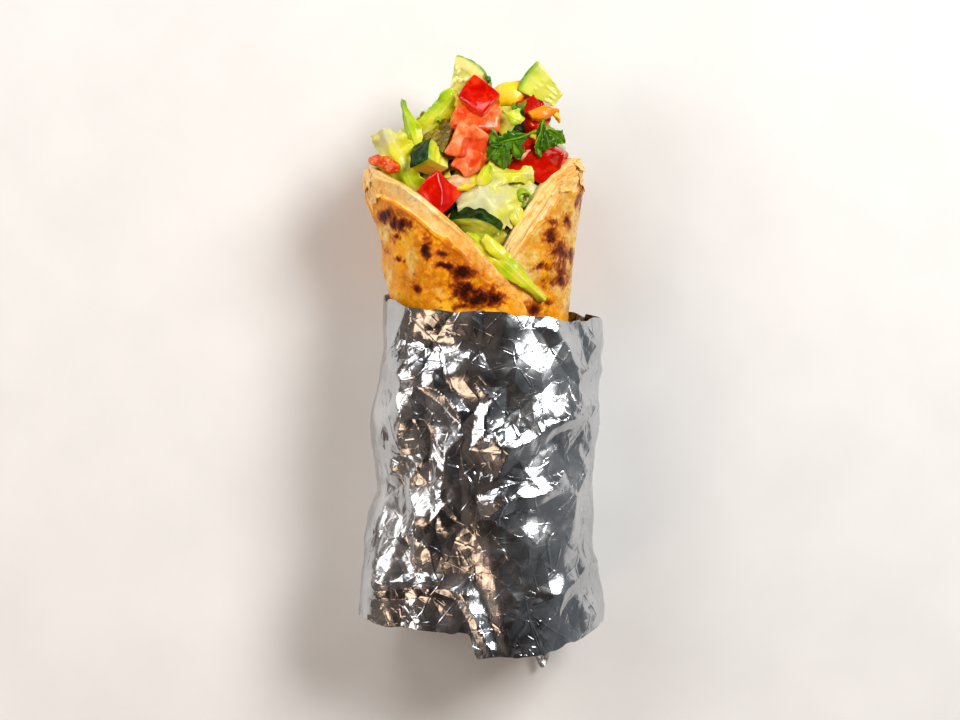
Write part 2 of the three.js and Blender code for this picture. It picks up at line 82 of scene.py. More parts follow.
# Flaky layers that stop short of the rim: distance from it, depth, raggedness, seed
LEFT_FLAKES = [[7.0, 1.1, 1.8, 11], [0.8, 0.4, 0.6, 13]]
RIGHT_FLAKES = [[8.6, 0.35, 3.0, 14], [5.6, 0.3, 1.8, 15], [3.2, 0.3, 1.0, 16], [1.2, 0.3, 0.5, 18]]
# Edge of such a layer: its softness, the lip of the first and of the rest, and a crisp line below it
FLAKE = Values(soft=0.2, first_lip=0.4, lip=0.15, lip_below=0.8, lip_width=0.7,
               crisp_below=0.2, crisp_width=0.35, crisp_on_left=0.3)
# The left flap starts at these turns, and its ledge fades out over the others
LEFT_FROM = (205, 206)
LEDGE_FADE = (398.0, 345.0)
# Where the ledge has faded out, the rim is faintly creamy
FAINT_CREAM = Values(below=(2, 10), bumps=[[2, 7, 17]], strength=0.4)
TEAR = Values(at=300.0, width=15.0, height=9.0)
CURL = Values(at=78.0, width=12.0, reach=9.0, lift=2.2)
# Thin torn plates on the flaps: turn round the roll, distance below the rim, length, width, lean, lift
PLATES = [
    [83, 1.6, 9, 4.6, 12, 1.3], [75, 5.2, 12, 5.0, -6, 0.6], [60, 3.0, 13, 3.6, 6, 0.6],
    [42, 2.6, 13, 3.0, 4, 0.5], [86, 7.0, 9, 4.4, 40, 0.7], [304, 4.4, 13, 5.4, -10, 0.8],
    [312, 9.0, 12, 4.6, -22, 0.8], [296, 11, 9, 4.4, 20, 0.7],
]
PLATE = Values(grid=(44, 22), thickness=0.26, clearance=0.12, below_rim=0.2, rounding=0.75,
               ends=[[0.16, 1.6, 97]], sides=[[0.4, 2.2, 98]], bumps=[[0.15, 1.4, 100]],
               lifted=0.6, lift_bumps=[[0.4, 3, 99]],
               pale=0.6, crisp=0.5, cream=0.75, cream_bumps=[[0.3, 3, 101]])
# Scorched spots on the shown side: x, y, half width, half height, strength
SCORCHES = [
    [-30.6, 143.1, 3.0, 2.4, 1.0], [-27.6, 141.6, 2.6, 1.8, 0.8], [-24.4, 140.1, 3.0, 2.6, 1.0],
    [-26.7, 135.8, 1.1, 1.2, 0.9], [-12.0, 128.0, 7.0, 5.0, 0.34], [-4.0, 120.5, 8.0, 5.0, 0.34],
    [-29.7, 131.9, 1.6, 1.2, 0.6], [-27.2, 128.7, 1.1, 1.2, 0.9], [-25.3, 127.4, 0.9, 1.0, 0.8],
    [-16.2, 131.3, 2.5, 3.6, 1.0], [-17.6, 135.4, 2.3, 2.6, 0.55], [-11.3, 131.0, 2.0, 1.2, 0.8],
    [-11.0, 126.4, 3.0, 1.6, 1.0], [-6.0, 125.2, 4.2, 2.8, 1.0], [-20.0, 120.4, 1.9, 1.8, 1.0],
    [-5.3, 119.4, 4.2, 3.0, 1.0], [-0.8, 117.0, 5.0, 4.2, 1.05], [3.0, 117.6, 4.4, 4.0, 1.0],
    [-5.3, 114.3, 3.4, 1.2, 0.8], [-13.6, 116.6, 1.2, 0.8, 0.5], [-21.6, 124.6, 1.0, 0.8, 0.5],
    [23.4, 140.5, 3.0, 2.4, 0.62], [22.7, 136.4, 3.4, 3.2, 0.75], [28.2, 142.3, 2.0, 3.2, 0.65],
    [32.3, 149.7, 1.4, 5.0, 0.6], [26.4, 132.3, 3.8, 3.4, 0.8], [29.0, 130.5, 1.8, 3.2, 0.8],
    [19.7, 126.0, 3.6, 1.5, 0.72], [24.2, 127.2, 3.4, 2.4, 0.66], [26.0, 124.3, 2.9, 3.2, 0.9],
    [22.7, 122.3, 3.4, 1.8, 0.62], [22.7, 115.3, 3.0, 1.8, 0.6], [17.0, 113.6, 3.0, 2.6, 0.85],
]
# Pale places: same columns
PALES = [
    [-30.5, 137.5, 3.0, 5.0, 0.8], [-22.5, 129.5, 2.4, 6.0, 0.75], [-30.0, 122.0, 3.4, 9.0, 0.7],
    [-13.0, 119.0, 3.0, 2.6, 0.5], [20.0, 147.5, 4.0, 5.0, 0.8], [17.6, 137.0, 3.2, 5.0, 0.75],
    [30.0, 136.0, 2.2, 7.0, 0.8], [28.6, 118.0, 3.0, 5.0, 0.9], [19.6, 119.5, 2.6, 2.4, 0.7],
    [-4.0, 138.0, 4.0, 2.0, 0.35], [26.0, 152.0, 4.0, 5.0, 0.8],
]
SCORCH_WARP = 1.6
PALE_WARP = 2.0
# On the back a noise makes the scorches
BACK_SCORCHES = Values(bumps=[[1, 7, 38], [0.3, 3, 39]], over=(0.34, 0.8), strength=1.1)
# The right flap is paler: up to these turns, above these heights
BUFF_FLAP = Values(turns=(124, 118), heights=(106, 130), mean=0.62, bumps=[[0.35, 9, 42]])

# Foil: outline stops are [y, x]
FOIL_LEFT = [[-4, -39.4], [19, -39.6], [35, -36.8], [50, -34.2], [58, -33], [77, -34], [90, -32.4],
             [119, -31.3]]
FOIL_RIGHT = [[-4, 39.4], [16, 39.6], [34, 36.9], [52, 37.6], [85, 38.6], [97, 39.6], [119, 37.6]]
FOIL_DEPTH = [[-4, 27.5], [20, 28.5], [60, 30.5], [119, 31]]
FOIL_SQUARENESS = 2.4
FOIL_SINK = 1.2
FOIL_WALL = 0.5
FOIL_TOP = Values(mean=113.5, side=-3.6, front=-1.8)
FOIL_TOP_BUMPS = [[0.9, 9, 51], [0.4, 3, 52]]
FOIL_HEM = Values(side=15.5, left=5.8, right=13.9, back=6.0, step=1.5)
FOIL_HEM_BUMPS = [[0.8, 7, 53], [0.4, 2, 54]]
FOIL_TONGUE = Values(angle=300.0, width=9.0, drop=17.0)
FOIL_SEAM = Values(angle=92.0, lean=0.2, lift=1.3, soft=3.0, spread=60.0, until=47.0, fade=12.0)
FOIL_PLEAT = Values(y=92.0, height=5.0, lift=1.6, groove=0.8, angle=108.0, spread=34.0)
# The end is folded in: its middle, radial pleats and dish
FOIL_END = Values(middle=[0.0, 23.0, 28.0], inset=4.0, pleats=11, pleat=1.6, wander=50,
                  dish=2.2, hole=0.02)
FOIL_END_BUMPS = [[0.8, 5, 56]]
# The inside of the head goes down to here, out of sight
FOIL_INSIDE_TO = 100.0
FOIL_COLUMNS = [[-28, 208, 320], [208, 332, 90]]
FOIL_ROWS = Values(outer=200, inside=7, end=26, skirt=8)
# Flat facets between sharp creases: size, height, and how far smoother places flatten them
CRUMPLES = [[34, 2.2, 0.0], [17, 2.3, 0.1], [8, 0.85, 0.5], [3.6, 0.25, 0.6]]
CRUMPLE_LIMIT = 3.4
CRUMPLE_BUSY = Values(over=(-0.5, 0.6), bumps=[[1, 24, 57]])
CRUMPLE_BEND = Values(by=0.55, size=1.7)
# An even-sided facet's height over its side
TRIANGLE_HEIGHT = 0.866
# Long folds on the shown side: x and y of both ends, half width, height
FOLDS = [
    [-24.5, 98, -24, 62, 7, 2.0], [-24, 62, -19.5, 36, 7, 1.8], [-16, 89, -6.5, 79, 4, 1.3],
    [3, 86, 1.6, 70, 6, 1.6], [5, 66, 35, 85, 8, 2.2], [3, 50, 26, 56, 5, 2.0], [-31, 23, -5, 24, 5, 1.4],
    [-5.5, 22, 4, 3, 4, 1.2], [24, 20, 38, 33, 6, 1.4], [24, 108, 34, 92, 6, 1.4],
    [-12, 70, -12, 48, 6, 1.2],
]
FOLD = Values(wander=0.25, size=6, seed=58, steep=0.7, past=0.15, fade=0.3)
# A smoother place on the front
CALM = Values(angle=62.0, spread=24.0, y=30.0, height=24.0, share=0.72)

# Salad heap under the pieces that show
HEAP = Values(bottom=27.0, top=184.0, shoulder=146.0, tip=0.15, inset=5.6, head_inset=8.5,
              front_inset=7.0, head=(112, 132), lean=4.0, lean_over=(150, 184),
              bump=0.7, waves=[[5, 23], [3, -31]])
HEAP_BUMPS = [[1.1, 4.5, 61], [0.5, 2, 62]]
HEAP_SUNK = 0.8
HEAP_ROWS = [[HEAP.bottom, 110, 6], [110, HEAP.top, 90]]
HEAP_COLUMNS = [[0, 360, 120]]
# Cut vegetables and lettuce shreds over the heap
BITS = Values(count=34, y=(151, 174), size=(8, 7, 6), uneven=1.8, out=0.5, rise=0.5,
              longer=1.1, sector=80, cut=0.1, squares=14)
SHREDS = Values(seed=9, count=215, y=(134, 183), crowding=0.6, out=0.4, across_end=26, end=181.0,
                turn=12, tilt=0.3, frill=0.4, length=(8, 15), width=(2.8, 6.4), thickness=0.7,
                green=(0.05, 0.7), greener=(-0.2, 0.3))
# Limits of a shred's cup, bend, ripple and tip
SHRED_FORM = [(0.2, 0.9), (0.3, 1.4), (0.3, 0.9), (0.2, 0.7)]
GOLDEN_ANGLE = 137.5
CLEAR_OF_PIECES = 8.5

# Pieces: name, centre, the way local +Z faces, turn about it, size. The name starts with the slot
# A tomato's size ends with the rise of a ridge; then its crease depth, rounding and depth of red.
# The depth of red is partly the tomato's deeper red and partly painted shade
TOMATOES = [
    ["tomato_top", [-0.4, 181.2, 43.4], [0, 0.46, 0.89], 49, [10.4, 11.6, 6, 0], 0.0, 0.14, 0.2],
    ["tomato_upper", [-1.6, 174, 42.5], [-0.2, -0.3, -0.93], -62, [14.5, 8.5, 9, 0], 0.0, 0.24, 0.0],
    ["tomato_middle", [-3.6, 166.6, 46], [0.1, 0.1, -1], 20, [11.5, 12, 10, 0], 1.2, 0.2, 0.0],
    ["tomato_lower", [-3.6, 160.6, 46], [0.3, -0.2, -0.93], 60, [9.5, 7, 8, 0], 0.3, 0.22, 0.2],
    ["tomato_front", [-14.2, 150.1, 47.5], [0.12, 0, 0.99], 47, [10.4, 10.2, 9, 3], 0.0, 0.12, 0.1],
    ["tomato_right", [18.6, 161, 41.4], [-0.16, -0.06, 0.98], -20, [16.5, 12, 11, 0], 0.0, 0.2, 0.8],
    ["tomato_back_right", [16, 176.4, 38], [0.4, 0.2, 0.85], 30, [9.5, 11, 9, 0], 0.0, 0.2, 0.2],
]
TOMATO = Values(uneven=1.0, pulp_bumps=[[0.35, 4, 72], [0.1, 1.6, 73]], skin_bumps=[[0.3, 5, 74]],
                warp=(1.1, 6, 70), wet_bumps=[[1, 5, 71]], wet_sunk=0.5,
                crease_lean=0.2, crease_width=1.2, crease_bumps=[[1, 5, 79]])
# Size is radius, angle of the sector, thickness and share of the radius cut off at the point; then paleness.
# Little paleness leaves the flesh a deeper yellow, partly its own colour and partly painted shade and bounce
# light
CUCUMBERS = [
    ["cucumber_top_left", [-4.9, 187.4, 36], [0.66, 0.75, 0.05], 139, [15, 60, 9, 0.1], 0.8],
    ["cucumber_top_right", [19.8, 185.4, 36.5], [-0.78, 0.62, 0.05], -128, [24.5, 27, 9, 0.45], 0.35],
    ["cucumber_left", [-16.2, 161.4, 46], [-0.66, 0.48, 0.58], -81, [16, 34, 8.5, 0.35], 0.0],
    ["cucumber_right", [9.4, 174.2, 40], [0.75, -0.45, 0.42], 64, [16, 44, 9, 0.3], 0.0],
    ["cucumber_front", [-1.1, 141, 49.6], [0.1, 0.68, 0.72], -12, [12.5, 92, 9, 0.06], 0.0],
    ["pickle", [-13, 169.6, 40.5], [0.75, 0.4, 0.2], 76, [11, 120, 4, 0.06], 0.0],
]
CUCUMBER = Values(bumps=[[0.3, 5, 75], [0.12, 1.6, 76]], peel_bumps=[[0.5, 2.4, 80]], warp=(0.45, 6, 170),
                  core=(0.82, 0.7), core_bumps=[[0.08, 4, 78]], core_sunk=0.5, pulp_bumps=[[0.3, 1.4, 77]],
                  seed_spacing=(1.9, 1, 2.7), seed_form=(1.2, 0, 0.9), seed_over=(0.5, 0.15),
                  seedless=0.12, seed_rise=0.8, streaks=[[0.35, 1, 79]])
# Size is length, width, thickness, cup, bend, ripple, tip; then greenness at the root and at the tip.
# Parsley has its own form below
LEAVES = [
    ["lettuce_strip", [8.4, 126.8, 51.6], [0.2, 0.02, 0.98], -130,
     [34, 6.4, 0.9, 0.6, 4.5, 0.4, 0.55], 0.46, 0.5],
    ["lettuce_centre", [3.4, 146.6, 51], [0.05, 0.18, 0.98], -158,
     [18, 22, 0.9, 1.6, 1.8, 0.9, 0.45], 0.0, 0.14],
    ["lettuce_stem", [11.8, 143.3, 50.5], [0.3, 0.1, 0.95], 22, [11, 5, 1.8, 1, 0.6, 0.3, 0.4], 0.42, 0.35],
    ["lettuce_upper", [5.8, 156, 47.6], [0, 0.42, 0.9], -84, [23, 8, 0.9, 1.2, 1.6, 1.4, 0.4], 0.54, 0.3],
    ["lettuce_right", [15.2, 150.6, 46.2], [0.25, 0.2, 0.95], -74, [14, 8, 0.9, 1.1, 1, 1, 0.4], 0.2, 0.15],
    ["lettuce_lower", [7.4, 135, 46.8], [0.05, -0.15, 0.98], -78,
     [15, 9.5, 0.9, 0.8, 0.8, 0.7, 0.4], 0.5, 0.4],
    ["lettuce_left", [-26, 160, 43], [-0.28, -0.05, 0.96], 24,
     [24, 15, 0.9, 1.8, 1.4, 1.4, 0.25], 0.64, 0.14],
    ["lettuce_left_back", [-23.4, 165.4, 37.5], [-0.3, 0.1, 0.95], 4,
     [14, 10, 0.9, 1, 1, 0.8, 0.3], 0.25, 0.15],
    ["lettuce_spike", [-22.4, 172, 41.5], [-0.35, 0.05, 0.94], 20,
     [20, 5.8, 0.9, 0.9, 1.2, 0.6, 0.8], 0.5, 0.7],
    ["lettuce_long", [-15.4, 174.2, 38.8], [-0.1, -0.1, 0.99], -42,
     [25, 8.4, 0.9, 0.7, 0.7, 0.4, 0.2], 0.36, 0.58],
    ["lettuce_shard", [10.8, 175.2, 47], [0.2, 0.1, 0.97], 64, [7, 4.6, 0.9, 0.5, 0.4, 0.3, 0.9], 0.48, 0.55],
    ["parsley_leaf", [9.8, 166, 49], [-0.05, -0.2, 0.98], -70],
    ["parsley_sprig", [22, 168.4, 47], [0.25, -0.1, 0.96], 12],
    ["pepper_yellow", [10.2, 183.4, 38], [0.1, 0.25, 0.96], -70, [14, 8, 4.5, 0.8, 1, 0.2, 0.4], 0.15, 0.6],
    ["pepper_orange", [20.6, 176.6, 44.2], [0.2, 0.2, 0.96], -76,
     [9.5, 4.6, 2.6, 0.6, 0.9, 0.2, 0.6], 0.8, 0.9],
    ["onion", [-6.4, 153.6, 48.4], [0, 0.2, 0.98], -86, [11, 5.5, 1.8, 0.9, 0.9, 0.2, 0.4], 0, 0],
]
LEAF_ROOT = 0.35
LEAF_RAGGED = 0.09
LEAF_RAGGED_TURN = 260
LEAF_RIPPLE_TURN = 330
# Crimps of a frilly edge: height, degrees a millimetre, turns of phase, turn between the sides
LEAF_CRIMPS = [[1, 58, 1, 90], [0.6, 107, 2, 40]]
LEAF_VEINS = Values(spacing=4.2, slope=1.6, bumps=[[1.6, 5, 86]])
STRAIGHT_VEINS = Values(below_width=9, spacing=1.3, bumps=[[0.25, 7, 86]])
# Parsley on its leaf's own axes: the stem's way, then each lobe's root (x, y), turn from +Y, length and width
PARSLEY_STEMS = {
    "parsley_leaf": [[-1.4, 9.5, 0.2], [-1.2, 3, 0.7], [-2.4, -5, 0.4]],
    "parsley_sprig": [[-0.4, 6.5, 0], [-1.6, 4, 0.4], [-2.2, 1.5, 0.4]],
}
PARSLEY_LOBES = {
    "parsley_leaf": [[-2.4, -6, -8, 13, 7.5], [-1.8, -3, -146, 7.5, 5.6], [-1.2, -1.6, -112, 8.6, 6.4],
                     [-0.8, 1.4, -84, 7, 5.6], [-2.1, -3, 128, 4.6, 4.2]],
    "parsley_sprig": [[-0.4, 6.6, 158, 8, 3.6], [-2.2, 2.6, 163, 8.2, 4], [-1, 3, 186, 8.6, 6.6],
                      [0, 2.6, 224, 7.6, 5.6]],
}
PARSLEY_STEM_RADII = np.linspace(0.42, 0.3, 16)
LOBE_TOOTH = 1.9
LOBE_GRID = (56, 22)
# Lumps: centre, radius
RELISH = [[[-33.2, 161.2, 43.6], 2.3], [[-30.6, 160.4, 45.2], 2.2], [[-28.2, 159, 46.6], 2.4]]
RELISH_FORM = (1.15, 0.9, 0.85)

# Small bits on the salad: centre, the way they face, turn, length, width
HERB_BITS = [
    [[2.4, 188.2, 41.3], [0.3, 0.2, 0.9], 30, 3.4, 1.8],
    [[13.4, 178.9, 44.6], [0.1, 0.2, 0.97], -50, 4.2, 2.4],
    [[11.2, 178.2, 45.3], [-0.2, 0.2, 0.95], 20, 3.2, 1.8],
    [[19.0, 163.6, 47.9], [0.1, 0.1, 0.98], 15, 3.4, 1.2],
    [[4.6, 168.8, 49.0], [0, 0.1, 0.99], 10, 6.0, 2.0],
    [[13.4, 146.8, 48.0], [0.2, 0.3, 0.9], -70, 5.4, 2.6],
    [[5.4, 163.0, 49.0], [0, 0.2, 0.97], -30, 4.6, 2.2],
]
YELLOW_BITS = [
    [[-6.8, 180.2, 42.4], [-0.2, 0.1, 0.97], 15, 5.0, 3.4],
    [[-4.4, 152.2, 50.6], [-0.1, 0.3, 0.95], -80, 6.0, 2.4],
    [[16.6, 145.6, 46.6], [0.4, 0.2, 0.9], -60, 5.2, 2.8],
    [[24.8, 175.6, 43.4], [0.2, 0.1, 0.97], -150, 4.4, 1.8],
]
LEAF_BITS = [
    [[11.6, 153.6, 45.6], [0.1, 0.2, 0.97], -60, 12, 8.0],
    [[1.2, 133.4, 50.6], [0.1, -0.1, 0.98], -120, 11, 6.0],
    [[1.4, 156.0, 50.0], [-0.2, 0.3, 0.9], -20, 7.5, 5.0],
    [[-20.6, 168.0, 36.0], [-0.2, 0.1, 0.97], -20, 14, 9.0],
    [[5.6, 131.4, 54.0], [0.24, 0.02, 0.97], -136, 13.0, 4.8],
]
SEED = [[-9.6, 142.4, 51.6], [0.2, 0.1, 0.97], -20, 3.6, 2.2]
SCALLION = Values(centre=[14.0, 149.6, 50.2], faces=[0.3, -0.45, 0.85], spin=-60, radius=2.1,
                  width=2.6, open=80, wall=0.8)
PINK_SHRED = [[13.4, 161.2, 48.8], [14.2, 162.4, 49.6], [14.9, 163.6, 48.2], [16.2, 164.4, 47.2]]
PINK_SHRED_RADII = 0.55 * np.sin(np.linspace(0.3, 2.9, 24)) + 0.1

# Mottled wet foods: colours over a noise, its spots a metre, roughness, bumps, wetness, softness
MOTTLED = {
    "pickle": [[(0.3, "4a3804"), (0.5, "7a6208"), (0.75, "b09a2c")], 260, 0.1, 0.8, 0.6, 0.15],
    "onion": [[(0.3, "d09a5c"), (0.5, "e4c090"), (0.75, "f0d8b8")], 180, 0.2, 0.15, 0.4, 0.3],
    "relish": [[(0.3, "c01c00"), (0.5, "e04408"), (0.75, "f08420")], 420, 0.12, 0.4, 0.5, 0.15],
    "seed": [[(0.3, "8a4a14"), (0.5, "c07a2c"), (0.75, "e2a85a")], 500, 0.3, 0.2, 0.3, 0.15],
    # The heap core's colours are the green of deeper leaves, darkened as painted shade in the gaps between
    # the shreds
    "salad_core_and_shade": [[(0.3, "2c3a04"), (0.5, "5c780c"), (0.7, "8c8a18")], 260, 0.3, 0.5, 0.3, 0.15],
    "pink_shred": [[(0.3, "e57a5c"), (0.5, "f2a184"), (0.75, "f8c4ac")], 300, 0.22, 0.1, 0.3, 0.15],
}
# Foil creases: cells a metre, turn of the line that they are drawn out along, strength or tilt
FOIL_CREASES = [[95, 28, 0.36], [130, -40, 0.3], [240, 75, 0.24]]
FOIL_TILTS = [[150, 20, 0.09], [380, -50, 0.06]]

# Studio, in metres: lights are name, place, size, watts, colour
LIGHTS = [
    ["key", (0.55, 0.42, 0.8), (0.4, 0.4), 10.5, (1.0, 0.98, 0.96)],
    ["fill", (-0.75, 0.2, 0.6), (0.5, 0.5), 3.6, (1.0, 0.95, 0.9)],
    ["warm", (-0.45, -0.6, 0.6), (0.35, 0.35), 1.2, (1.0, 0.66, 0.44)],
    ["top", (-0.4, 0.8, 0.7), (0.4, 0.3), 3.0, (0.97, 0.98, 1.0)],
]
LIGHT_AIM = (0.0, 0.02, 0.03)
# Surroundings from the left horizon, past the dim ceiling, to the right horizon
WORLD_STOPS = [(0.0, "a08c80"), (0.22, "2c2420"), (1.0, "c4c8cc")]
WORLD_CEILING = -0.35
WORLD_STRENGTH = 0.44
FLOOR_REACH = 3.0
FLOOR_LEVEL = -0.0003
CAMERA_PLACE = (-0.0002, 0.00127, 1.045)
CAMERA_SENSOR = 36.0
CAMERA_LENS = 116.2


# Numbers and noise

def smooth(low, high, x):
    t = np.clip((x - low) / (high - low), 0, 1)
    return t * t * (3 - 2 * t)


def bell(x, width):
    return np.exp(-(x / width) ** 2)


def sine(degrees):
    return np.sin(np.radians(degrees))


def cosine(degrees):
    return np.cos(np.radians(degrees))


def blend(a, b, share):
    return a + (b - a) * share


def signed_power(x, power):
    return np.sign(x) * np.abs(x) ** power


def units(vectors):
    return vectors / np.maximum(np.linalg.norm(vectors, axis=1, keepdims=True), 1e-9)


def through(stops):
    """A smooth curve through [place, value] stops, level beyond its ends."""
    places, values = np.array(stops, float).T
    before = np.maximum(np.arange(len(places)) - 1, 0)
    after = np.minimum(np.arange(len(places)) + 1, len(places) - 1)
    slopes = (values[after] - values[before]) / (places[after] - places[before])

    def curve(place):
        place = np.clip(place, places[0], places[-1])
        k = np.clip(np.searchsorted(places, place, side="right") - 1, 0, len(places) - 2)
        span = places[k + 1] - places[k]
        t = (place - places[k]) / span
        ends = slopes[k] * (1 - t) - slopes[k + 1] * t
        return values[k] + (values[k + 1] - values[k]) * t * t * (3 - 2 * t) + span * t * (1 - t) * ends

    return curve


def seeded(seed):
    """A fixed random number from 0 to 1, the same as in the part's source."""
    mask = 0xFFFFFFFF
    s = (seed + 0x6D2B79F5) & mask
    t = ((s ^ (s >> 15)) * (s | 1)) & mask
    t ^= (t + ((t ^ (t >> 7)) * (t | 61) & mask)) & mask
    return ((t ^ (t >> 14)) & mask) / 2 ** 32


def cell_value(cells, seed):
    """A fixed random number from 0 to 1 for each whole-number cell."""
    x, y, z = (cells[..., axis].astype(np.int64).astype(np.uint32) for axis in range(3))
    n = x * np.uint32(374761393) + y * np.uint32(668265263) + z * np.uint32(2246822519)
    n = n + np.uint32((seed * 3266489917) % 2 ** 32)
    n = (n ^ (n >> np.uint32(13))) * np.uint32(1274126177)
    n = (n ^ (n >> np.uint32(15))) * np.uint32(2246822519)
    return (n ^ (n >> np.uint32(16))) / 2 ** 32


def noise(points, size, seed):
    """Smooth random values between -1 and 1 that change over about that size."""
    places = points / size
    cells = np.floor(places)
    part = places - cells
    part = part * part * (3 - 2 * part)
    total = 0
    for corner in np.ndindex(2, 2, 2):
        weight = np.prod(np.where(corner, part, 1 - part), axis=-1)
        total = total + weight * cell_value(cells + corner, seed)
    return 2 * total - 1


def bumps(points, table):
    """Noises of several sizes added up."""
    return sum(height * noise(points, size, seed) for height, size, seed in table)


# Shapes are points in roll millimetres, four-sided faces and named values at the points

def stack(*parts):
    return np.stack(np.broadcast_arrays(*parts), -1).astype(float)


def cloth(turned, y):
    """A sheet wound round the roll, laid flat."""
    return stack(turned * ARC_PER_DEGREE, y, 0)


def edge_places(flat, side, axis):
    """Where a ragged edge across an axis reads its noise."""
    across = np.arange(3) == axis
    return flat * np.where(across, EDGE_SQUEEZE, 1) + EDGE_APART * np.sign(side)[..., None] * across


def spaced(runs, ring=False):
    """Places along runs of start, end and count. A ring leaves out its last end."""
    last = len(runs) - 1
    return np.concatenate([np.linspace(*run, endpoint=order == last and not ring)
                           for order, run in enumerate(runs)])


def grid(rows, columns, start=-1):
    """A column of places up to 1 and a row of places from -1 to 1."""
    return np.linspace(start, 1, rows)[:, None], np.linspace(-1, 1, columns)[None, :]


def on_shown_side(points, above_axis):
    """1 on the upper side, 0 on the lower side and a soft change between them."""
    middle = AXIS_Z + above_axis
    return smooth(middle - 5, middle + 5, points[..., 2])


def quads(rows, columns, ring_rows=False, ring_columns=False):
    """Four-sided faces between neighbours in a rows by columns array of points."""
    i = np.arange(rows if ring_rows else rows - 1)[:, None]
    j = np.arange(columns if ring_columns else columns - 1)[None, :]
    i_next, j_next = (i + 1) % rows, (j + 1) % columns
    corners = ((i, j), (i_next, j), (i_next, j_next), (i, j_next))
    return stack(*(a * columns + b for a, b in corners)).reshape(-1, 4).astype(int)


def loops(points, ring=False, **values):
    """A closed skin over closed loops of points. A ring joins the last to the first, or they are capped."""
    rows, columns = points.shape[:2]
    faces = quads(rows, columns, ring, True)
    if not ring:
        j = np.arange(columns // 2 - 1)
        cap = stack(j, j + 1, columns - 2 - j, columns - 1 - j).astype(int)
        faces = np.vstack([faces, cap, cap[:, ::-1] + (rows - 1) * columns])
    values = {key: np.broadcast_to(value, (rows, columns)).ravel() for key, value in values.items()}
    return points.reshape(-1, 3), faces, values


def sheet(front, back, **values):
    """A closed thin sheet between two grids of points."""
    values = {key: np.hstack([value, value[:, ::-1]]) for key, value in values.items()}
    return loops(np.concatenate([front, back[:, ::-1]], axis=1), **values)


def block(squares, rounding):
    """A cube's surface from -1 to 1 with rounded edges, that many squares to a side."""
    line = np.linspace(-1, 1, squares + 1)
    points, faces = [], []
    for axis in range(3):
        for side in (-1, 1):
            face = np.empty((squares + 1, squares + 1, 3))
            face[..., axis] = side
            face[..., (axis + 1) % 3] = line[:, None]
            face[..., (axis + 2) % 3] = line[None, :]
            order = slice(None) if side > 0 else slice(None, None, -1)
            faces.append(quads(squares + 1, squares + 1)[:, order] + len(points) * (squares + 1) ** 2)
            points.append(face.reshape(-1, 3))
    unique, index = np.unique(np.round(np.vstack(points), 6), axis=0, return_inverse=True)
    core = np.clip(unique, rounding - 1, 1 - rounding)
    return core + rounding * units(unique - core), index.ravel()[np.vstack(faces)]


def tube(path, radii, sides=10, **values):
    """A round bar on a smooth curve through a few points, with a radius for each place along it."""
    stops = np.array(path, float)
    fine = np.linspace(0, len(stops) - 1, len(radii))
    middle = np.stack([through(list(enumerate(stops[:, axis])))(fine) for axis in range(3)], -1)
    along = units(np.gradient(middle, axis=0))
    side = units(np.cross(along, [0.3, 0.2, 1.0]))
    up = np.cross(side, along)
    turn = np.linspace(0, 360, sides, endpoint=False)[None, :, None]
    around = cosine(turn) * side[:, None] + sine(turn) * up[:, None]
    return loops(middle[:, None] + radii[:, None, None] * around, **values)


def placed(shape, centre, faces, spin):
    """The shape with its local +Z turned to face a way, spun about that way and moved to its centre."""
    points, polygons, values = shape
    turn = Vector((0, 0, 1)).rotation_difference(Vector(faces).normalized())
    turn = turn @ Quaternion((0, 0, 1), math.radians(spin))
    return points @ np.array(turn.to_matrix()).T + np.array(centre), polygons, values


def joined(shapes):
    """Several shapes as one."""
    starts = np.cumsum([0] + [len(shape[0]) for shape in shapes])
    points = np.vstack([shape[0] for shape in shapes])
    faces = np.vstack([shape[1] + start for shape, start in zip(shapes, starts)])
    values = {key: np.concatenate([shape[2][key] for shape in shapes]) for key in shapes[0][2]}
    return points, faces, values


def linked(name, data):
    """A new object in the scene."""
    made = bpy.data.objects.new(name, data)
    bpy.context.scene.collection.objects.link(made)
    return made


def piece(name, shape, material, slot, *nodes, smooth_shaded=True):
    """Makes a mesh object from a shape, facing outwards, in place of the solids named."""
    points, faces, values = shape
    points = (points - ORIGIN) * MM
    corners = points[faces[:, [0, 1, 2, 0, 2, 3]].reshape(-1, 3)]
    volume = np.einsum("ij,ij->i", corners[:, 0], np.cross(corners[:, 1], corners[:, 2])).sum()
    if volume < 0:
        faces = faces[:, ::-1]
    mesh = bpy.data.meshes.new(name)
    mesh.from_pydata(points.tolist(), [], faces.tolist())
    for key, value in values.items():
        mesh.attributes.new(key, "FLOAT", "POINT").data.foreach_set("value", value.astype(np.float32))
    mesh.polygons.foreach_set("use_smooth", np.full(len(faces), smooth_shaded))
    mesh.materials.append(material)
    made = linked(name, mesh)
    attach(made, "root")
    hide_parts(*nodes)


# Flatbread

bread_left = through(BREAD_LEFT)
bread_right = through(BREAD_RIGHT)


def bread_section(y):
    left, right = bread_left(y), bread_right(y)
    half_width = (right - left) / 2
    return (right + left) / 2, half_width, BREAD_DEPTH_SHARE * half_width + BREAD_DEPTH_EXTRA


def bread_rim(turned):
    rim = BREAD_RIM + BREAD_RIM_SLOPE * cosine(BREAD_START - turned)
    for height, often, phase in BREAD_RIM_WAVES:
        rim = rim + height * sine(turned * often + phase)
    tops = []
    for edge, turn in ((RIGHT_EDGE, turned), (LEFT_EDGE, BREAD_WRAP - turned)):
        rise = 1 - (1 - np.clip(turn / edge.turn, 0, 1)) ** edge.power
        tops.append(edge.foot + (rim - edge.foot) * rise)
    return np.minimum(*tops) + bumps(cloth(turned, 0), BREAD_RIM_BUMPS)


def bread_point(turned, y, out):
    x, half_width, half_depth = bread_section(y)
    angle = BREAD_START - turned
    out = out + BREAD_LAP.lift * (1 - smooth(*BREAD_LAP.over, BREAD_WRAP - turned))
    return stack(x + (half_width + out) * cosine(angle), y, AXIS_Z + (half_depth + out) * sine(angle))


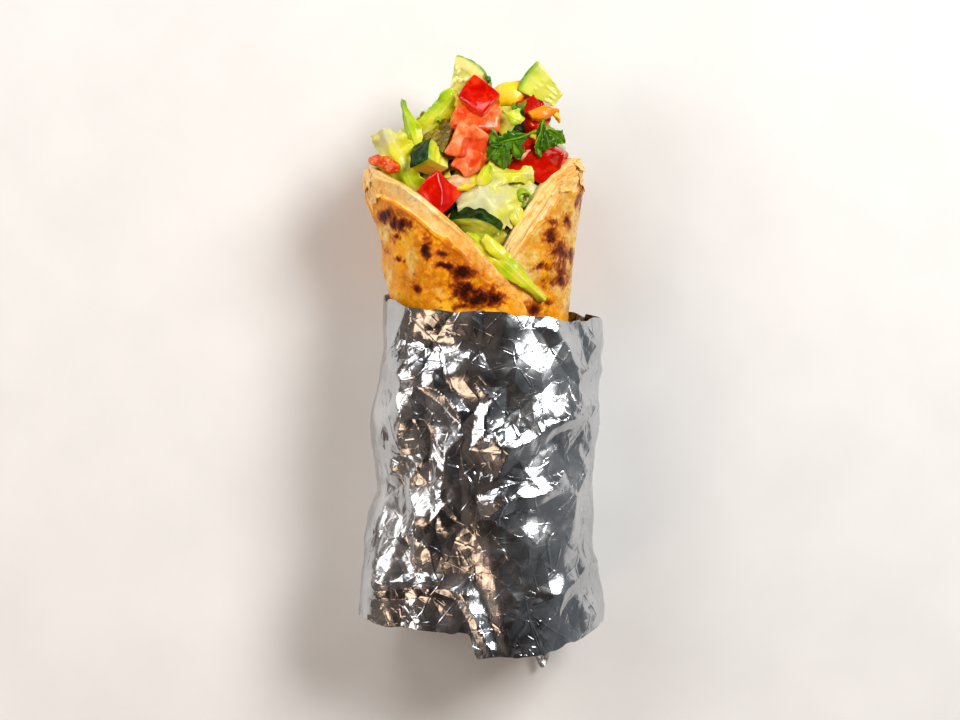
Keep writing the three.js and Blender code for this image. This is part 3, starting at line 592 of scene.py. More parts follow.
def spotted(points, table, warp):
    """The strongest of the spots at each point of the shown side."""
    x, y = (points[..., axis] + warp * noise(points, 4, 21 + axis) for axis in (0, 1))
    spots = [strength * bell(np.hypot((x - at_x) / wide, (y - at_y) / high), 1.0)
             for at_x, at_y, wide, high, strength in table]
    return np.max(spots, axis=0) * on_shown_side(points, -1)


def bread_relief(turned, y, below):
    """How far the crust stands out, how creamy it is, and where the crisp edges of its layers run."""
    crust = cloth(turned, y)
    ragged = cloth(turned, below * 0.45)
    on_left = smooth(*LEFT_FROM, turned)
    ledge = on_left * smooth(*LEDGE_FADE, turned)
    torn = TEAR.height * bell(turned - TEAR.at, TEAR.width)
    blisters = np.maximum(0, noise(crust, BLISTERS.size, BLISTERS.seed) - BLISTERS.past)
    out = bumps(crust, BREAD_BUMPS) + BLISTERS.height * blisters
    cream, crisp = 0 * out, 0 * out
    for flakes, share in ((LEFT_FLAKES, ledge), (RIGHT_FLAKES, 1 - on_left)):
        for order, (height, depth, rag, seed) in enumerate(flakes):
            edge = height + rag * bumps(ragged, [[1, 7, seed], [0.5, 2.2, seed + 40]])
            edge = edge + on_left * torn * (1 - 0.35 * order)
            bare = 1 - smooth(edge - FLAKE.soft, edge + FLAKE.soft, below)
            lip = FLAKE.lip if order else FLAKE.first_lip
            lip = lip * bell(below - edge - FLAKE.lip_below, FLAKE.lip_width)
            out = out + share * (lip - depth * bare)
            line = bell(below - edge - FLAKE.crisp_below, FLAKE.crisp_width)
            crisp = np.maximum(crisp, share * blend(1, FLAKE.crisp_on_left, on_left) * line)
            if order == 0:
                cream = cream + share * bare
    faint = 1 - smooth(*FAINT_CREAM.below, below + bumps(ragged, FAINT_CREAM.bumps))
    cream = cream + FAINT_CREAM.strength * (on_left - ledge) * faint
    curl = bell(turned - CURL.at, CURL.width) * (1 - smooth(0, CURL.reach, below))
    return out + CURL.lift * curl - hidden_inset(y), cream, crisp


def hidden_inset(y):
    return HIDDEN_INSET * smooth(*HIDDEN_OVER, y)


def rows_below(top, rows):
    """Distances down from the rim, close together near it."""
    reach = rows.reach
    close = np.linspace(0, reach, rows.close)[None, :] + 0 * top
    rest = np.linspace(0, 1, rows.rest)[None, 1:] ** rows.spread
    return np.hstack([close, reach + (top - BREAD_BOTTOM - reach) * rest])


def bread_shape():
    turned = spaced(BREAD_COLUMNS)[:, None]
    top = bread_rim(turned)
    below = rows_below(top, OUTER_ROWS)
    y = top - below
    out, cream, crisp = bread_relief(turned, y, below)
    outer = bread_point(turned, y, out)
    crust = cloth(turned, y)
    back = smooth(*BACK_SCORCHES.over, bumps(crust, BACK_SCORCHES.bumps))
    back = BACK_SCORCHES.strength * back * (1 - on_shown_side(outer, -3))
    flap = smooth(*BUFF_FLAP.turns, turned) * smooth(*BUFF_FLAP.heights, y)
    flap = flap * (BUFF_FLAP.mean + bumps(crust, BUFF_FLAP.bumps))
    scorch = np.maximum(spotted(outer, SCORCHES, SCORCH_WARP), back)
    pale = np.maximum(spotted(outer, PALES, PALE_WARP), flap)

    inner_y = top - rows_below(top, INNER_ROWS)
    inset = BREAD_THICKNESS + hidden_inset(inner_y)
    inner = bread_point(turned, inner_y, bumps(cloth(turned, inner_y), INNER_BUMPS) - inset)
    shown = {"scorch": scorch, "pale": pale, "cream": cream, "crisp": crisp}
    inside = {"scorch": 0.0, "pale": 0.5, "cream": 1.0, "crisp": 0.0}
    values = {key: np.hstack([shown[key][:, ::-1], inside[key] + 0 * inner_y]) for key in shown}
    return loops(np.concatenate([outer[:, ::-1], inner], axis=1), **values)


def plate_shapes():
    """Thin torn plates of crust, each lying along the rim on the bread under it with its edges lifted."""
    shapes = []
    u, v = grid(*PLATE.grid)
    for order, (turned, below, length, width, lean, lift) in enumerate(PLATES):
        flat = stack(u * length / 2 + 40 * order, v * width / 2, 0)
        along = u * length / 2 * (1 + bumps(edge_places(flat, u, 0), PLATE.ends))
        across = v * width / 2 * np.sqrt(1 - PLATE.rounding * u ** 4)
        across = across * (1 + bumps(edge_places(flat, v, 1), PLATE.sides))
        where = turned + (along * cosine(lean) - across * sine(lean)) / ARC_PER_DEGREE
        depth = np.maximum(PLATE.below_rim, below + along * sine(lean) + across * cosine(lean))
        y = bread_rim(where) - depth
        open_edge = smooth(0.2, 1, v) * (PLATE.lifted + bumps(flat, PLATE.lift_bumps))
        out = bread_relief(where, y, depth)[0] + PLATE.clearance
        out = out + lift * open_edge + bumps(flat, PLATE.bumps)
        rim = np.maximum(smooth(0.8, 1, np.abs(v)), smooth(0.88, 1, np.abs(u)))
        shapes.append(sheet(bread_point(where, y, out + PLATE.thickness), bread_point(where, y, out),
                            scorch=0 * y, pale=PLATE.pale + 0 * y, crisp=PLATE.crisp * rim,
                            cream=PLATE.cream + bumps(flat, PLATE.cream_bumps)))
    return joined(shapes)


# Foil

foil_left = through(FOIL_LEFT)
foil_right = through(FOIL_RIGHT)
foil_depth = through(FOIL_DEPTH)


def foil_top(angle):
    return FOIL_TOP.mean + FOIL_TOP.side * cosine(angle) + FOIL_TOP.front * sine(angle)


def foil_hem(angle):
    up = sine(angle)
    behind = FOIL_HEM.side + FOIL_HEM.back * up
    behind = behind - FOIL_TONGUE.drop * bell(angle - FOIL_TONGUE.angle, FOIL_TONGUE.width)
    step = smooth(-FOIL_HEM.step, FOIL_HEM.step, angle - FOIL_SEAM.angle)
    front = FOIL_HEM.side - blend(FOIL_HEM.right, FOIL_HEM.left, step) * up
    return np.where(up < 0, behind, front)


def foil_fold(angle, y):
    """The lapped front panel and the level pleat."""
    seam, pleat = FOIL_SEAM, FOIL_PLEAT
    past = seam.angle + seam.lean * (y - seam.until) - angle
    on_panel = smooth(-seam.soft, seam.soft, past) * bell(angle - seam.angle, seam.spread)
    lapped = seam.lift * on_panel * (1 - smooth(seam.until - seam.fade, seam.until, y))
    roll = bell(y - pleat.y, pleat.height)
    groove = pleat.groove * bell(y - pleat.y - 2 * pleat.height, pleat.height)
    return lapped + pleat.lift * bell(angle - pleat.angle, pleat.spread) * (roll - groove)


def foil_point(angle, y, out, inward):
    half_width = (foil_right(y) - foil_left(y)) / 2 + out - inward
    half_depth = foil_depth(y) + out - inward
    across, up = (signed_power(way, 2 / FOIL_SQUARENESS) for way in (cosine(angle), sine(angle)))
    z = foil_depth(y) - FOIL_SINK + half_depth * up
    return stack((foil_right(y) + foil_left(y)) / 2 + half_width * across, y, np.maximum(z, inward))


def facets(arc, y, size, around, seed):
    """Random heights from -1 to 1 with flat facets between sharp creases, the same again after one turn."""
    count = round(around / size)
    v = y / (around / count * TRIANGLE_HEIGHT)
    u = arc / around * count - 0.5 * v
    u_cell, v_cell = np.floor(u), np.floor(v)
    u_part, v_part = u - u_cell, v - v_cell
    past = u_part + v_part > 1

    def corner(i, j):
        return cell_value(stack((u_cell + i) % count, v_cell + j, 0), seed)

    near = corner(0, 0) * (1 - u_part - v_part) + corner(1, 0) * u_part + corner(0, 1) * v_part
    far = corner(1, 1) * (u_part + v_part - 1) + corner(0, 1) * (1 - u_part) + corner(1, 0) * (1 - v_part)
    return 2 * np.where(past, far, near) - 1


def crumpled(arc, y, around):
    """Crumples of several sizes over the arc and the length, finer in some places than in others."""
    busy = smooth(*CRUMPLE_BUSY.over, bumps(stack(arc, y, 0), CRUMPLE_BUSY.bumps))
    total = 0
    for order, (size, height, smoother) in enumerate(CRUMPLES):
        bend, bend_size = CRUMPLE_BEND.by * size, CRUMPLE_BEND.size * size
        bent_arc = arc + bend * facets(arc, y, bend_size, around, 60 + order)
        bent_y = y + bend * facets(arc, y, bend_size, around, 70 + order)
        height = height * (1 - smoother * (1 - busy))
        total = total + height * facets(bent_arc, bent_y, size, around, 80 + order)
    return total


def folded(points):
    """The long folds: sharp ridges on the shown side, steeper on one side and lower at their ends."""
    total = np.zeros(points.shape[:-1])
    for x1, y1, x2, y2, wide, height in FOLDS:
        run_x, run_y = x2 - x1, y2 - y1
        away_x, away_y = points[..., 0] - x1, points[..., 1] - y1
        share = (away_x * run_x + away_y * run_y) / (run_x ** 2 + run_y ** 2)
        off = (away_y * run_x - away_x * run_y) / math.hypot(run_x, run_y)
        off = off + FOLD.wander * wide * noise(points, FOLD.size, FOLD.seed)
        slope = np.where(off > 0, off / wide, -off / (FOLD.steep * wide))
        ends = np.minimum(1, np.minimum(share + FOLD.past, 1 + FOLD.past - share) / FOLD.fade)
        total += height * np.maximum(0, np.minimum(1 - slope, ends))
    return total * on_shown_side(points, 1)


def foil_out(angle, y):
    calm = CALM.share * bell(angle - CALM.angle, CALM.spread) * bell(y - CALM.y, CALM.height)
    out = crumpled(angle * ARC_PER_DEGREE, y, 360 * ARC_PER_DEGREE) * (1 - calm)
    out = CRUMPLE_LIMIT * np.tanh(out / CRUMPLE_LIMIT)
    return foil_fold(angle, y) + out + folded(foil_point(angle, y, 0, 0))


def foil_shape():
    """One closed skin: the outside, the inside of the head, the folded-in end and the inside of the hem."""
    turned = spaced(FOIL_COLUMNS, ring=True)[:, None]
    angle = turned % 360
    strip = cloth(turned, 0)
    top = foil_top(angle) + bumps(strip, FOIL_TOP_BUMPS)
    hem = foil_hem(angle) + bumps(strip, FOIL_HEM_BUMPS)
    end_rim = hem + FOIL_END.inset

    def wall(start, stop, rows, inward=FOIL_WALL):
        y = blend(start, stop, np.linspace(0, 1, rows)[None, :])
        return foil_point(angle, y, foil_out(angle, y), inward)

    outer = wall(hem, top, FOIL_ROWS.outer, 0)
    inside = wall(top, FOIL_INSIDE_TO, FOIL_ROWS.inside)
    skirt = wall(end_rim, hem, FOIL_ROWS.skirt)
    middle = np.array(FOIL_END.middle)
    share = np.linspace(FOIL_END.hole, 1, FOIL_ROWS.end)[None, :-1]
    ends = blend(middle, skirt[:, :1], share[..., None])
    pleats = FOIL_END.pleat * sine(angle * FOIL_END.pleats + FOIL_END.wander * noise(strip, 20, 55))
    dish = (middle[1] - end_rim) * (1 - share ** FOIL_END.dish)
    ends[..., 1] = end_rim + dish + pleats * share * (1 - share) * 4
    ends[..., 1] += bumps(ends, FOIL_END_BUMPS) * (1 - share)
    behind = ends[:, :1] + np.array([0.0, FOIL_WALL, 0.0])
    return loops(np.concatenate([outer, inside, behind, ends, skirt], axis=1), ring=True)


# Salad

def heap_point(angle, y, grow):
    x, half_width, half_depth = bread_section(np.minimum(y, BREAD_RIM))
    past = np.maximum(0, (y - HEAP.shoulder) / (HEAP.top - HEAP.shoulder))
    share = blend(HEAP.tip, 1, np.sqrt(np.maximum(0, 1 - past ** 2)))
    opened = smooth(*HEAP.head, y)
    deep = HEAP.head_inset + HEAP.front_inset * np.maximum(0, sine(angle))
    inset = blend(HEAP.inset, deep, opened)
    waves = sum(sine(angle * often + y * along) for often, along in HEAP.waves)
    grow = grow + opened * HEAP.bump * waves
    lean = HEAP.lean * smooth(*HEAP.lean_over, y)
    return stack(x + lean + ((half_width - inset) * share + grow) * cosine(angle), y,
                 AXIS_Z + ((half_depth - inset) * share + grow) * sine(angle))


def heap_shape():
    angle = spaced(HEAP_COLUMNS, ring=True)[None, :]
    y = spaced(HEAP_ROWS)[:, None]
    lumps = bumps(heap_point(angle, y, 0), HEAP_BUMPS)
    return loops(heap_point(angle, y, lumps - HEAP_SUNK))


def warped(points, warp, seed):
    """The points pushed about a little, so that flat cuts and straight edges run unevenly."""
    amount, size, first = warp
    ways = [noise(points, size, first + seed + axis) for axis in range(3)]
    return points + amount * np.stack(ways, -1)


def die_shape(size, seed, crease=0.0, rounding=0.2, deep=0.2, squares=24):
    """A cut cube of tomato: skin on local +Z that may rise to a ridge, pulp and a crease opposite."""
    *sides, ridge = size
    unit, faces = block(squares, rounding)
    share = (unit + 1) / 2
    points = np.zeros(unit.shape)
    for corner in range(8):
        bits = np.array([corner & 1, corner >> 1 & 1, corner >> 2 & 1])
        uneven = [TOMATO.uneven * (seeded(7 * seed + 3 * corner + axis) - 0.5) for axis in range(3)]
        place = (np.array(sides) / 2 + uneven) * (2 * bits - 1)
        points += np.prod(np.where(bits, share, 1 - share), axis=1, keepdims=True) * place
    x, y, up = unit.T
    points[:, 2] += ridge * (1 - np.abs(x - y) / 2) * share[:, 2]
    apart = points + 40 * seed
    skin = 0.5 * smooth(-0.5, 0.6, up) + 0.5 * smooth(0.6, 0.85, up)
    wet = smooth(0.2, 0.6, bumps(apart, TOMATO.wet_bumps)) * smooth(0.3, -0.4, up)
    off = points[:, 1] + TOMATO.crease_lean * points[:, 0] + bumps(apart, TOMATO.crease_bumps)
    valley = bell(off, TOMATO.crease_width)
    pulp = bumps(apart, TOMATO.pulp_bumps) - TOMATO.wet_sunk * wet - crease * valley
    out = np.where(skin > 0.6, bumps(apart, TOMATO.skin_bumps), pulp)
    points = warped(points + out[:, None] * units(points), TOMATO.warp, seed)
    wet = np.maximum(wet, 0.5 * valley * min(1.0, crease))
    # deep darkens the whole piece: partly a deeper red, partly painted shade
    return points, faces, {"skin": skin, "wet": wet, "deep": deep + 0 * wet}


def wedge_shape(size, seed, pale=0.3, squares=28, rounding=0.1):
    """A cut sector of cucumber: peel on local +Z, seeds towards the point."""
    radius, angle, thickness, cut = size
    unit, faces = block(squares, rounding)
    across, side, up = unit.T
    ring = blend(cut, 1, (up + 1) / 2)
    turn = across * angle / 2
    reach = radius * np.maximum(ring, 0.03)
    points = stack(reach * sine(turn), side * thickness / 2, reach * cosine(turn) - radius * (1 + cut) / 2)
    apart = points + 40 * seed
    seedy = min(1, 2 * pale)
    cells = points * [1, 0, 1] / CUCUMBER.seed_spacing + 7.3 * seed
    cell = np.floor(cells)
    shift = 0.8 * stack(cell_value(cell, 4) - 0.5, 0, cell_value(cell, 5) - 0.5)
    inside = np.linalg.norm((cells - cell - 0.5 - shift) * CUCUMBER.seed_form, axis=1)
    core = smooth(*CUCUMBER.core, ring + bumps(apart, CUCUMBER.core_bumps))
    present = cell_value(cell, 3) > CUCUMBER.seedless
    seeds = core * present * smooth(*CUCUMBER.seed_over, inside) * seedy
    streaks = bumps(stack(turn / 5, 0, ring) + 11 * seed, CUCUMBER.streaks)
    out = bumps(apart, CUCUMBER.bumps) + smooth(0.88, 1, ring) * bumps(apart, CUCUMBER.peel_bumps)
    cut_face = CUCUMBER.seed_rise * seeds - CUCUMBER.core_sunk * core
    cut_face = cut_face + core * bumps(apart, CUCUMBER.pulp_bumps)
    points[:, 1] += signed_power(side, 6) * cut_face
    away = units(points - [0, 0, radius * 0.1])
    points = warped(points + out[:, None] * away, CUCUMBER.warp, seed)
    gel = core * (1 - seeds) * blend(0.2, 1, seedy)
    return points, faces, {"ring": ring, "seeds": seeds, "gel": gel, "pale": np.clip(pale + streaks, 0, 1),
                           "light_peel": float(pale > 0.3) + 0 * ring}


def leaf_shape(size, seed, low, high, frill=0.0, body=0.5, along=80, across=32):
    """A thin wavy leaf or slice along local Y: a ridge, cut ends, a ragged edge and side veins."""
    length, width, thickness, cup, bend, ripple, tip = size
    phase = 360 * seeded(300 + seed)
    u, v = grid(along, across)
    side, out = np.sign(v), np.abs(v)
    flat = stack(v * width / 2 + 50 * seed, u * length / 2, 0)
    rim = edge_places(flat, v, 0)
    narrowing = 1 - tip * smooth(-0.1, 1, u) - LEAF_ROOT * smooth(0.2, 1, -u)
    ragged = 1 + LEAF_RAGGED * sine(LEAF_RAGGED_TURN * u + phase + 120 * side)
    ragged = ragged + bumps(rim, [[0.08 + 0.2 * frill, 3.2, 81], [0.03 + 0.1 * frill, 1.1, 90]])
    x = v * width / 2 * narrowing * ragged
    cut = 0.1 * v * sine(phase) + (0.04 + 0.1 * frill) * noise(flat * [1, 0.05, 1], 2.4, 82)
    y = u * length / 2 * (1 - 0.04 * v ** 2) + width * cut * smooth(0.6, 1, np.abs(u))
    crimp = sum(height * sine(often * y + turns * phase + between * side)
                for height, often, turns, between in LEAF_CRIMPS)
    wave = ripple * v * sine(LEAF_RIPPLE_TURN * u + phase) + frill * v ** 2 * crimp
    pleats = 0.4 * frill * sine(70 * x + 2 * phase + 60 * noise(flat, 6, 84)) * (1 - v ** 2)
    rows = (y - LEAF_VEINS.slope * np.abs(x) + bumps(flat, LEAF_VEINS.bumps)) / LEAF_VEINS.spacing
    if width < STRAIGHT_VEINS.below_width:
        rows = x / STRAIGHT_VEINS.spacing + bumps(flat, STRAIGHT_VEINS.bumps)
    rib = v + 0.7 * (seeded(400 + seed) - 0.5) + 0.15 * noise(flat, 6, 83)
    vein = np.maximum(0.8 * bell(rib, 0.1), 0.6 * bell(rows - np.round(rows), 0.1) * (1 - v ** 4))
    z = cup * (0.5 - out ** 1.4) + bend * (0.4 - u ** 2) + wave + pleats
    z = z + 0.35 * frill * noise(flat, 2.2, 91) + 0.14 * vein
    half = thickness / 2 * body * (0.4 + 0.6 * np.sqrt(np.maximum(0, 1 - v ** 6)))
    tone = blend(low, high, smooth(-1, 1, u)) - 0.06 + 0.18 * noise(flat, 5, 85)
    # Towards the sides the tone rises to a deeper green, partly the leaf's own colour and partly painted
    # shade of its folded sides; at the very rim it drops to pale
    tone = tone + 0.16 * out ** 1.5 - 0.3 * smooth(0.9, 1, out)
    return sheet(stack(x, y, z + half), stack(x, y, z - half), tone=tone, vein=vein)


def lobe_shape(length, width, seed):
    """One toothed lobe of a parsley leaf, its root at the origin, along local Y."""
    t, v = grid(*LOBE_GRID, start=0.001)
    flat = stack(v * width, t * length, 0) + 30 * seed
    saw = (t * length / LOBE_TOOTH + 0.3 * np.sign(v) + seeded(990 + seed)) % 1
    teeth = 1 - 0.26 * saw * smooth(0.1, 0.4, t)
    profile = np.minimum(1, 1.7 * t + 0.1) * np.sqrt(np.maximum(0, 1 - t ** 5)) * teeth
    x = v * width / 2 * profile * (1 + 0.12 * noise(flat, 1.5, 86))
    y = t * length * (1 - 0.16 * v ** 2 * t) + 0.3 * sine(v * 540) * t
    rows = (y - np.abs(x) * 1.1) / LOBE_TOOTH
    vein = np.maximum(bell(v, 0.1), 0.6 * bell(rows - np.round(rows), 0.12))
    waves = 0.4 * noise(flat, 3, 87) + 0.5 * noise(flat, 4, 88) * np.abs(v)
    z = 0.3 * np.abs(x) - 0.14 * length * t ** 2 + waves
    half = 0.17 * (1 - 0.5 * v ** 2)
    # The tone rises at the rim: a painted highlight along the lobe's edge
    tone = 0.45 + 0.3 * noise(flat, 4, 89) + 0.35 * smooth(0.86, 1, np.abs(v))
    return sheet(stack(x, y, z + half), stack(x, y, z - half), tone=tone, vein=vein)


def parsley_shape(name, seed):
    """Toothed lobes along a thin stem."""
    parts = [tube(PARSLEY_STEMS[name], PARSLEY_STEM_RADII, 8, tone=0.7, vein=0.3)]
    for order, (x, y, turn, length, width) in enumerate(PARSLEY_LOBES[name]):
        key = 10 * seed + order
        root = [x, y, 0.4 + 0.6 * seeded(970 + key) + 0.1 * order]
        parts.append(placed(lobe_shape(length, width, key), root, [0, 0, 1], turn))
    return joined(parts)


def relish_shape():
    """Cooked tomato relish: a few pulpy lumps run together."""
    lumps = []
    for order, (centre, radius) in enumerate(RELISH):
        unit, faces = block(18, 1.0)
        points = unit * radius * RELISH_FORM
        pulp = 0.22 * noise(points + 20 * order, 1.9, 91) + 0.1 * noise(points, 0.8, 92)
        lumps.append((points * (1 + pulp)[:, None] + centre, faces, {}))
    return joined(lumps)


def clear_of_pieces(centre):
    """True where a heap bit leaves room for every named piece."""
    centres = np.array([row[1] for row in TOMATOES + CUCUMBERS + LEAVES])
    return np.linalg.norm(centres - centre, axis=1).min() > CLEAR_OF_PIECES


def heap_bits():
    """Cut vegetables that fill the heap between the named pieces: tomato and cucumber shapes."""
    tomato, cucumber = [], []
    for k in range(BITS.count):
        angle = k * GOLDEN_ANGLE
        centre = heap_point(angle, blend(*BITS.y, k / BITS.count), BITS.out)
        if not clear_of_pieces(centre):
            continue
        uneven = [BITS.uneven * (seeded(50 + 3 * k + axis) - 0.5) for axis in range(3)]
        size = np.add(BITS.size, uneven)
        faces = [cosine(angle), BITS.rise, sine(angle)]
        if k % 3:
            sector = [size[0] * BITS.longer, BITS.sector, size[2], BITS.cut]
            shape = wedge_shape(sector, k, squares=BITS.squares)
            cucumber.append(placed(shape, centre, faces, angle))
        else:
            tomato.append(placed(die_shape([*size, 0], k, squares=BITS.squares), centre, faces, angle))
    return joined(tomato), joined(cucumber)


def heap_shreds():
    """Shredded lettuce over the heap, lying along it at uneven tilts, and across its end."""
    draw = np.random.default_rng(SHREDS.seed)
    shreds = []
    for k in range(SHREDS.count + SHREDS.across_end):
        angle = k * GOLDEN_ANGLE + draw.uniform(-SHREDS.turn, SHREDS.turn)
        y = blend(*SHREDS.y, draw.uniform() ** SHREDS.crowding)
        rise = 0.4 + 2 * max(0, (y - HEAP.shoulder) / (HEAP.top - HEAP.shoulder)) ** 3
        where = heap_point(angle, y, SHREDS.out)
        if k >= SHREDS.count:
            reach = math.sqrt((k - SHREDS.count + 0.5) / SHREDS.across_end)
            sides = [heap_point(angle + turn, SHREDS.end, SHREDS.out) for turn in (0, 180)]
            where = blend(sides[1], sides[0], 0.5 + reach / 2)
            where[1] = blend(HEAP.top + SHREDS.out, SHREDS.end, reach ** 2)
            rise = 3 - reach
        faces = [way + draw.normal(0, SHREDS.tilt) for way in (cosine(angle), rise, sine(angle))]
        length, width = draw.uniform(*SHREDS.length), draw.uniform(*SHREDS.width)
        form = [draw.uniform(*limits) for limits in SHRED_FORM]
        low = draw.uniform(*SHREDS.green)
        high = low + draw.uniform(*SHREDS.greener)
        size = [length, width, SHREDS.thickness, *form]
        shape = leaf_shape(size, 40 + k, low, high, SHREDS.frill, along=22, across=9)
        shreds.append(placed(shape, where, faces, draw.uniform(0, 360)))
    return joined(shreds)


def bit_shapes(table, seed, thickness, low, high):
    """Small torn bits of leaf or vegetable."""
    shapes = []
    for order, (centre, faces, spin, length, width) in enumerate(table):
        size = [length, width, thickness, 0.12 * width, 0.1 * length, 0.3, 0.6]
        shape = leaf_shape(size, seed + order, low, high, 0.2, 1.0, along=24, across=14)
        shapes.append(placed(shape, centre, faces, spin))
    return joined(shapes)


def seed_shape():
    centre, faces, spin, length, width = SEED
    unit, polygons = block(14, 1.0)
    narrow = 1 - 0.35 * unit[:, 1:2]
    points = unit * [width / 2, length / 2, width / 2.6] * np.hstack([narrow, narrow ** 0, narrow])
    points += 0.08 * noise(points, 0.7, 95)[:, None] * unit
    return placed((points, polygons, {}), centre, faces, spin)


def scallion_shape():
    """A curl of sliced scallion leaf: an open ring of thin wall."""
    turn = np.linspace(SCALLION.open / 2, 360 - SCALLION.open / 2, 40)[:, None]
    along = np.linspace(-0.5, 0.5, 8)[None, :] * SCALLION.width
    outer = SCALLION.radius * (1 + 0.1 * sine(turn * 2))
    walls = [stack(radius * cosine(turn), radius * sine(turn), along)
             for radius in (outer, outer - SCALLION.wall)]
    plain = 0 * turn * along
    shape = sheet(*walls, tone=0.75 + plain, vein=plain)
    return placed(shape, SCALLION.centre, SCALLION.faces, SCALLION.spin)


# Materials

def rgb(code):
    """A linear colour from a six-figure screen colour."""
    parts = [int(code[k:k + 2], 16) / 255 for k in (0, 2, 4)]
    return [c / 12.92 if c < 0.04045 else ((c + 0.055) / 1.055) ** 2.4 for c in parts] + [1.0]


class Nodes:
    """A node tree with short ways to add to it."""

    # The sockets of a mix node that hold colours have no names of their own
    MIX_FROM, MIX_TO, MIX_RESULT = 6, 7, 2

    def __init__(self, owner):
        owner.use_nodes = True
        self.tree = owner.node_tree

    def put(self, socket, value):
        """Links a socket to another node's output, or sets it."""
        if isinstance(value, bpy.types.NodeSocket):
            self.tree.links.new(value, socket)
        else:
            socket.default_value = rgb(value) if isinstance(value, str) else value

    def node(self, kind, inputs=None, **properties):
        made = self.tree.nodes.new("ShaderNode" + kind)
        for key, value in properties.items():
            setattr(made, key, value)
        for socket, value in (inputs or {}).items():
            self.put(made.inputs[socket], value)
        return made

    def math(self, operation, *inputs):
        return self.node("Math", dict(enumerate(inputs)), operation=operation).outputs[0]

    def vector(self, operation, *inputs):
        return self.node("VectorMath", dict(enumerate(inputs)), operation=operation).outputs[0]

    def wander(self, value, by, amount):
        """The value shifted up and down by a noise."""
        return self.math("ADD", value, self.math("MULTIPLY", self.math("SUBTRACT", by, 0.5), amount))

    def step(self, value, low, high, start=0.0, end=1.0):
        """A smooth rise from start to end as the value goes from low to high."""
        limits = {"Value": value, "From Min": low, "From Max": high, "To Min": start, "To Max": end}
        return self.node("MapRange", limits, interpolation_type="SMOOTHSTEP").outputs["Result"]

    def ramp(self, value, *stops):
        made = self.node("ValToRGB", {"Fac": value})
        elements = made.color_ramp.elements
        while len(elements) < len(stops):
            elements.new(0.5)
        for element, (place, code) in zip(elements, stops):
            element.position = place
            element.color = rgb(code)
        return made.outputs["Color"]

    def mix(self, share, a, b):
        colours = {"Factor": share, self.MIX_FROM: a, self.MIX_TO: b}
        return self.node("Mix", colours, data_type="RGBA").outputs[self.MIX_RESULT]

    def tint(self, colour, to, value, low, high, share=1.0):
        """The colour turned to another by up to that share as the value goes from low to high."""
        return self.mix(self.step(value, low, high, 0.0, share), colour, to)


class Look(Nodes):
    """A material being built on one shader."""

    def __init__(self, name, **constants):
        self.material = bpy.data.materials.new(name)
        super().__init__(self.material)
        self.shader = self.tree.nodes["Principled BSDF"]
        self.coordinates = self.node("TexCoord").outputs["Object"]
        for key, value in constants.items():
            self.shader.inputs[key.replace("_", " ")].default_value = value

    def attribute(self, name):
        return self.node("Attribute", attribute_name=name).outputs["Fac"]

    def noise(self, per_metre, detail=3.0, distortion=0.0):
        return self.node("TexNoise", {"Vector": self.coordinates, "Scale": per_metre, "Detail": detail,
                                      "Distortion": distortion}).outputs["Fac"]

    def along(self, turn, length):
        """Coordinates for a pattern drawn out along a line turned about Z."""
        drawn = {"Vector": self.coordinates, "Rotation": (0, 0, math.radians(turn)), "Scale": (1, length, 1)}
        return self.node("Mapping", drawn, vector_type="TEXTURE").outputs["Vector"]

    def cells(self, per_metre, place, feature="F1"):
        return self.node("TexVoronoi", {"Vector": place, "Scale": per_metre}, feature=feature)

    def tilted(self, normal, cells, tilt):
        """The normal tilted a different way in each flat cell."""
        lean = self.vector("SUBTRACT", cells.outputs["Color"], (0.5, 0.5, 0.5))
        lean = self.vector("MULTIPLY", lean, (2 * tilt, 2 * tilt, 2 * tilt))
        return self.vector("NORMALIZE", self.vector("ADD", normal, lean))

    def bump(self, height, strength, depth, under=None):
        made = self.node("Bump", {"Height": height, "Strength": strength, "Distance": depth * MM})
        if under:
            self.put(made.inputs["Normal"], under)
        return made.outputs["Normal"]

    def finish(self, colour, roughness, normal):
        for name, value in (("Base Color", colour), ("Roughness", roughness), ("Normal", normal)):
            self.put(self.shader.inputs[name], value)
        return self.material


def bread_look():
    look = Look("baked_bread", Subsurface_Weight=0.05, Subsurface_Scale=0.003)
    patches = look.noise(75, 4, 0.6)
    grain = look.noise(900, 5)
    streaks = look.noise(260, 4, 0.4)
    mottle = look.noise(480, 5, 0.9)
    golden = look.ramp(look.wander(patches, streaks, 0.5),
                       (0.25, "b86006"), (0.42, "e28a0a"), (0.58, "f4a410"), (0.78, "f8c030"))
    golden = look.tint(golden, "c06c0a", mottle, 0.5, 0.72, 0.34)
    golden = look.tint(golden, "fbc838", mottle, 0.5, 0.3, 0.45)
    buff = look.ramp(look.wander(streaks, grain, 0.5), (0.3, "cc942c"), (0.5, "e6bc5c"), (0.7, "f4da98"))
    golden = look.tint(golden, buff, look.wander(look.attribute("pale"), streaks, 0.6), 0.15, 0.75)
    cream = look.ramp(look.wander(look.wander(patches, streaks, 0.4), grain, 0.35),
                      (0.28, "eca848"), (0.45, "f8ca78"), (0.62, "fce0a4"), (0.8, "fff2d0"))
    colour = look.tint(golden, cream, look.wander(look.attribute("cream"), grain, 0.4), 0.3, 0.7)
    crisp = look.wander(look.attribute("crisp"), streaks, 0.8)
    colour = look.tint(colour, "dc8c1c", crisp, 0.35, 0.9, 0.7)
    scorch = look.attribute("scorch")
    for by, amount in ((streaks, 0.8), (mottle, 1.1), (grain, 0.4)):
        scorch = look.wander(scorch, by, amount)
    colour = look.tint(colour, "b4540a", scorch, 0.06, 0.5, 0.85)
    colour = look.tint(colour, "742404", scorch, 0.32, 0.66, 0.92)
    colour = look.tint(colour, "260a04", scorch, 0.56, 0.92, 0.95)
    look.put(look.shader.inputs["Specular IOR Level"], look.step(scorch, 0.1, 0.6, 0.16, 0.12))
    roughness = look.step(look.wander(streaks, grain, 0.5), 0.3, 0.7, 0.18, 0.42)
    normal = look.bump(grain, 0.5, 0.4, look.bump(streaks, 0.35, 0.7))
    return look.finish(colour, roughness, normal)


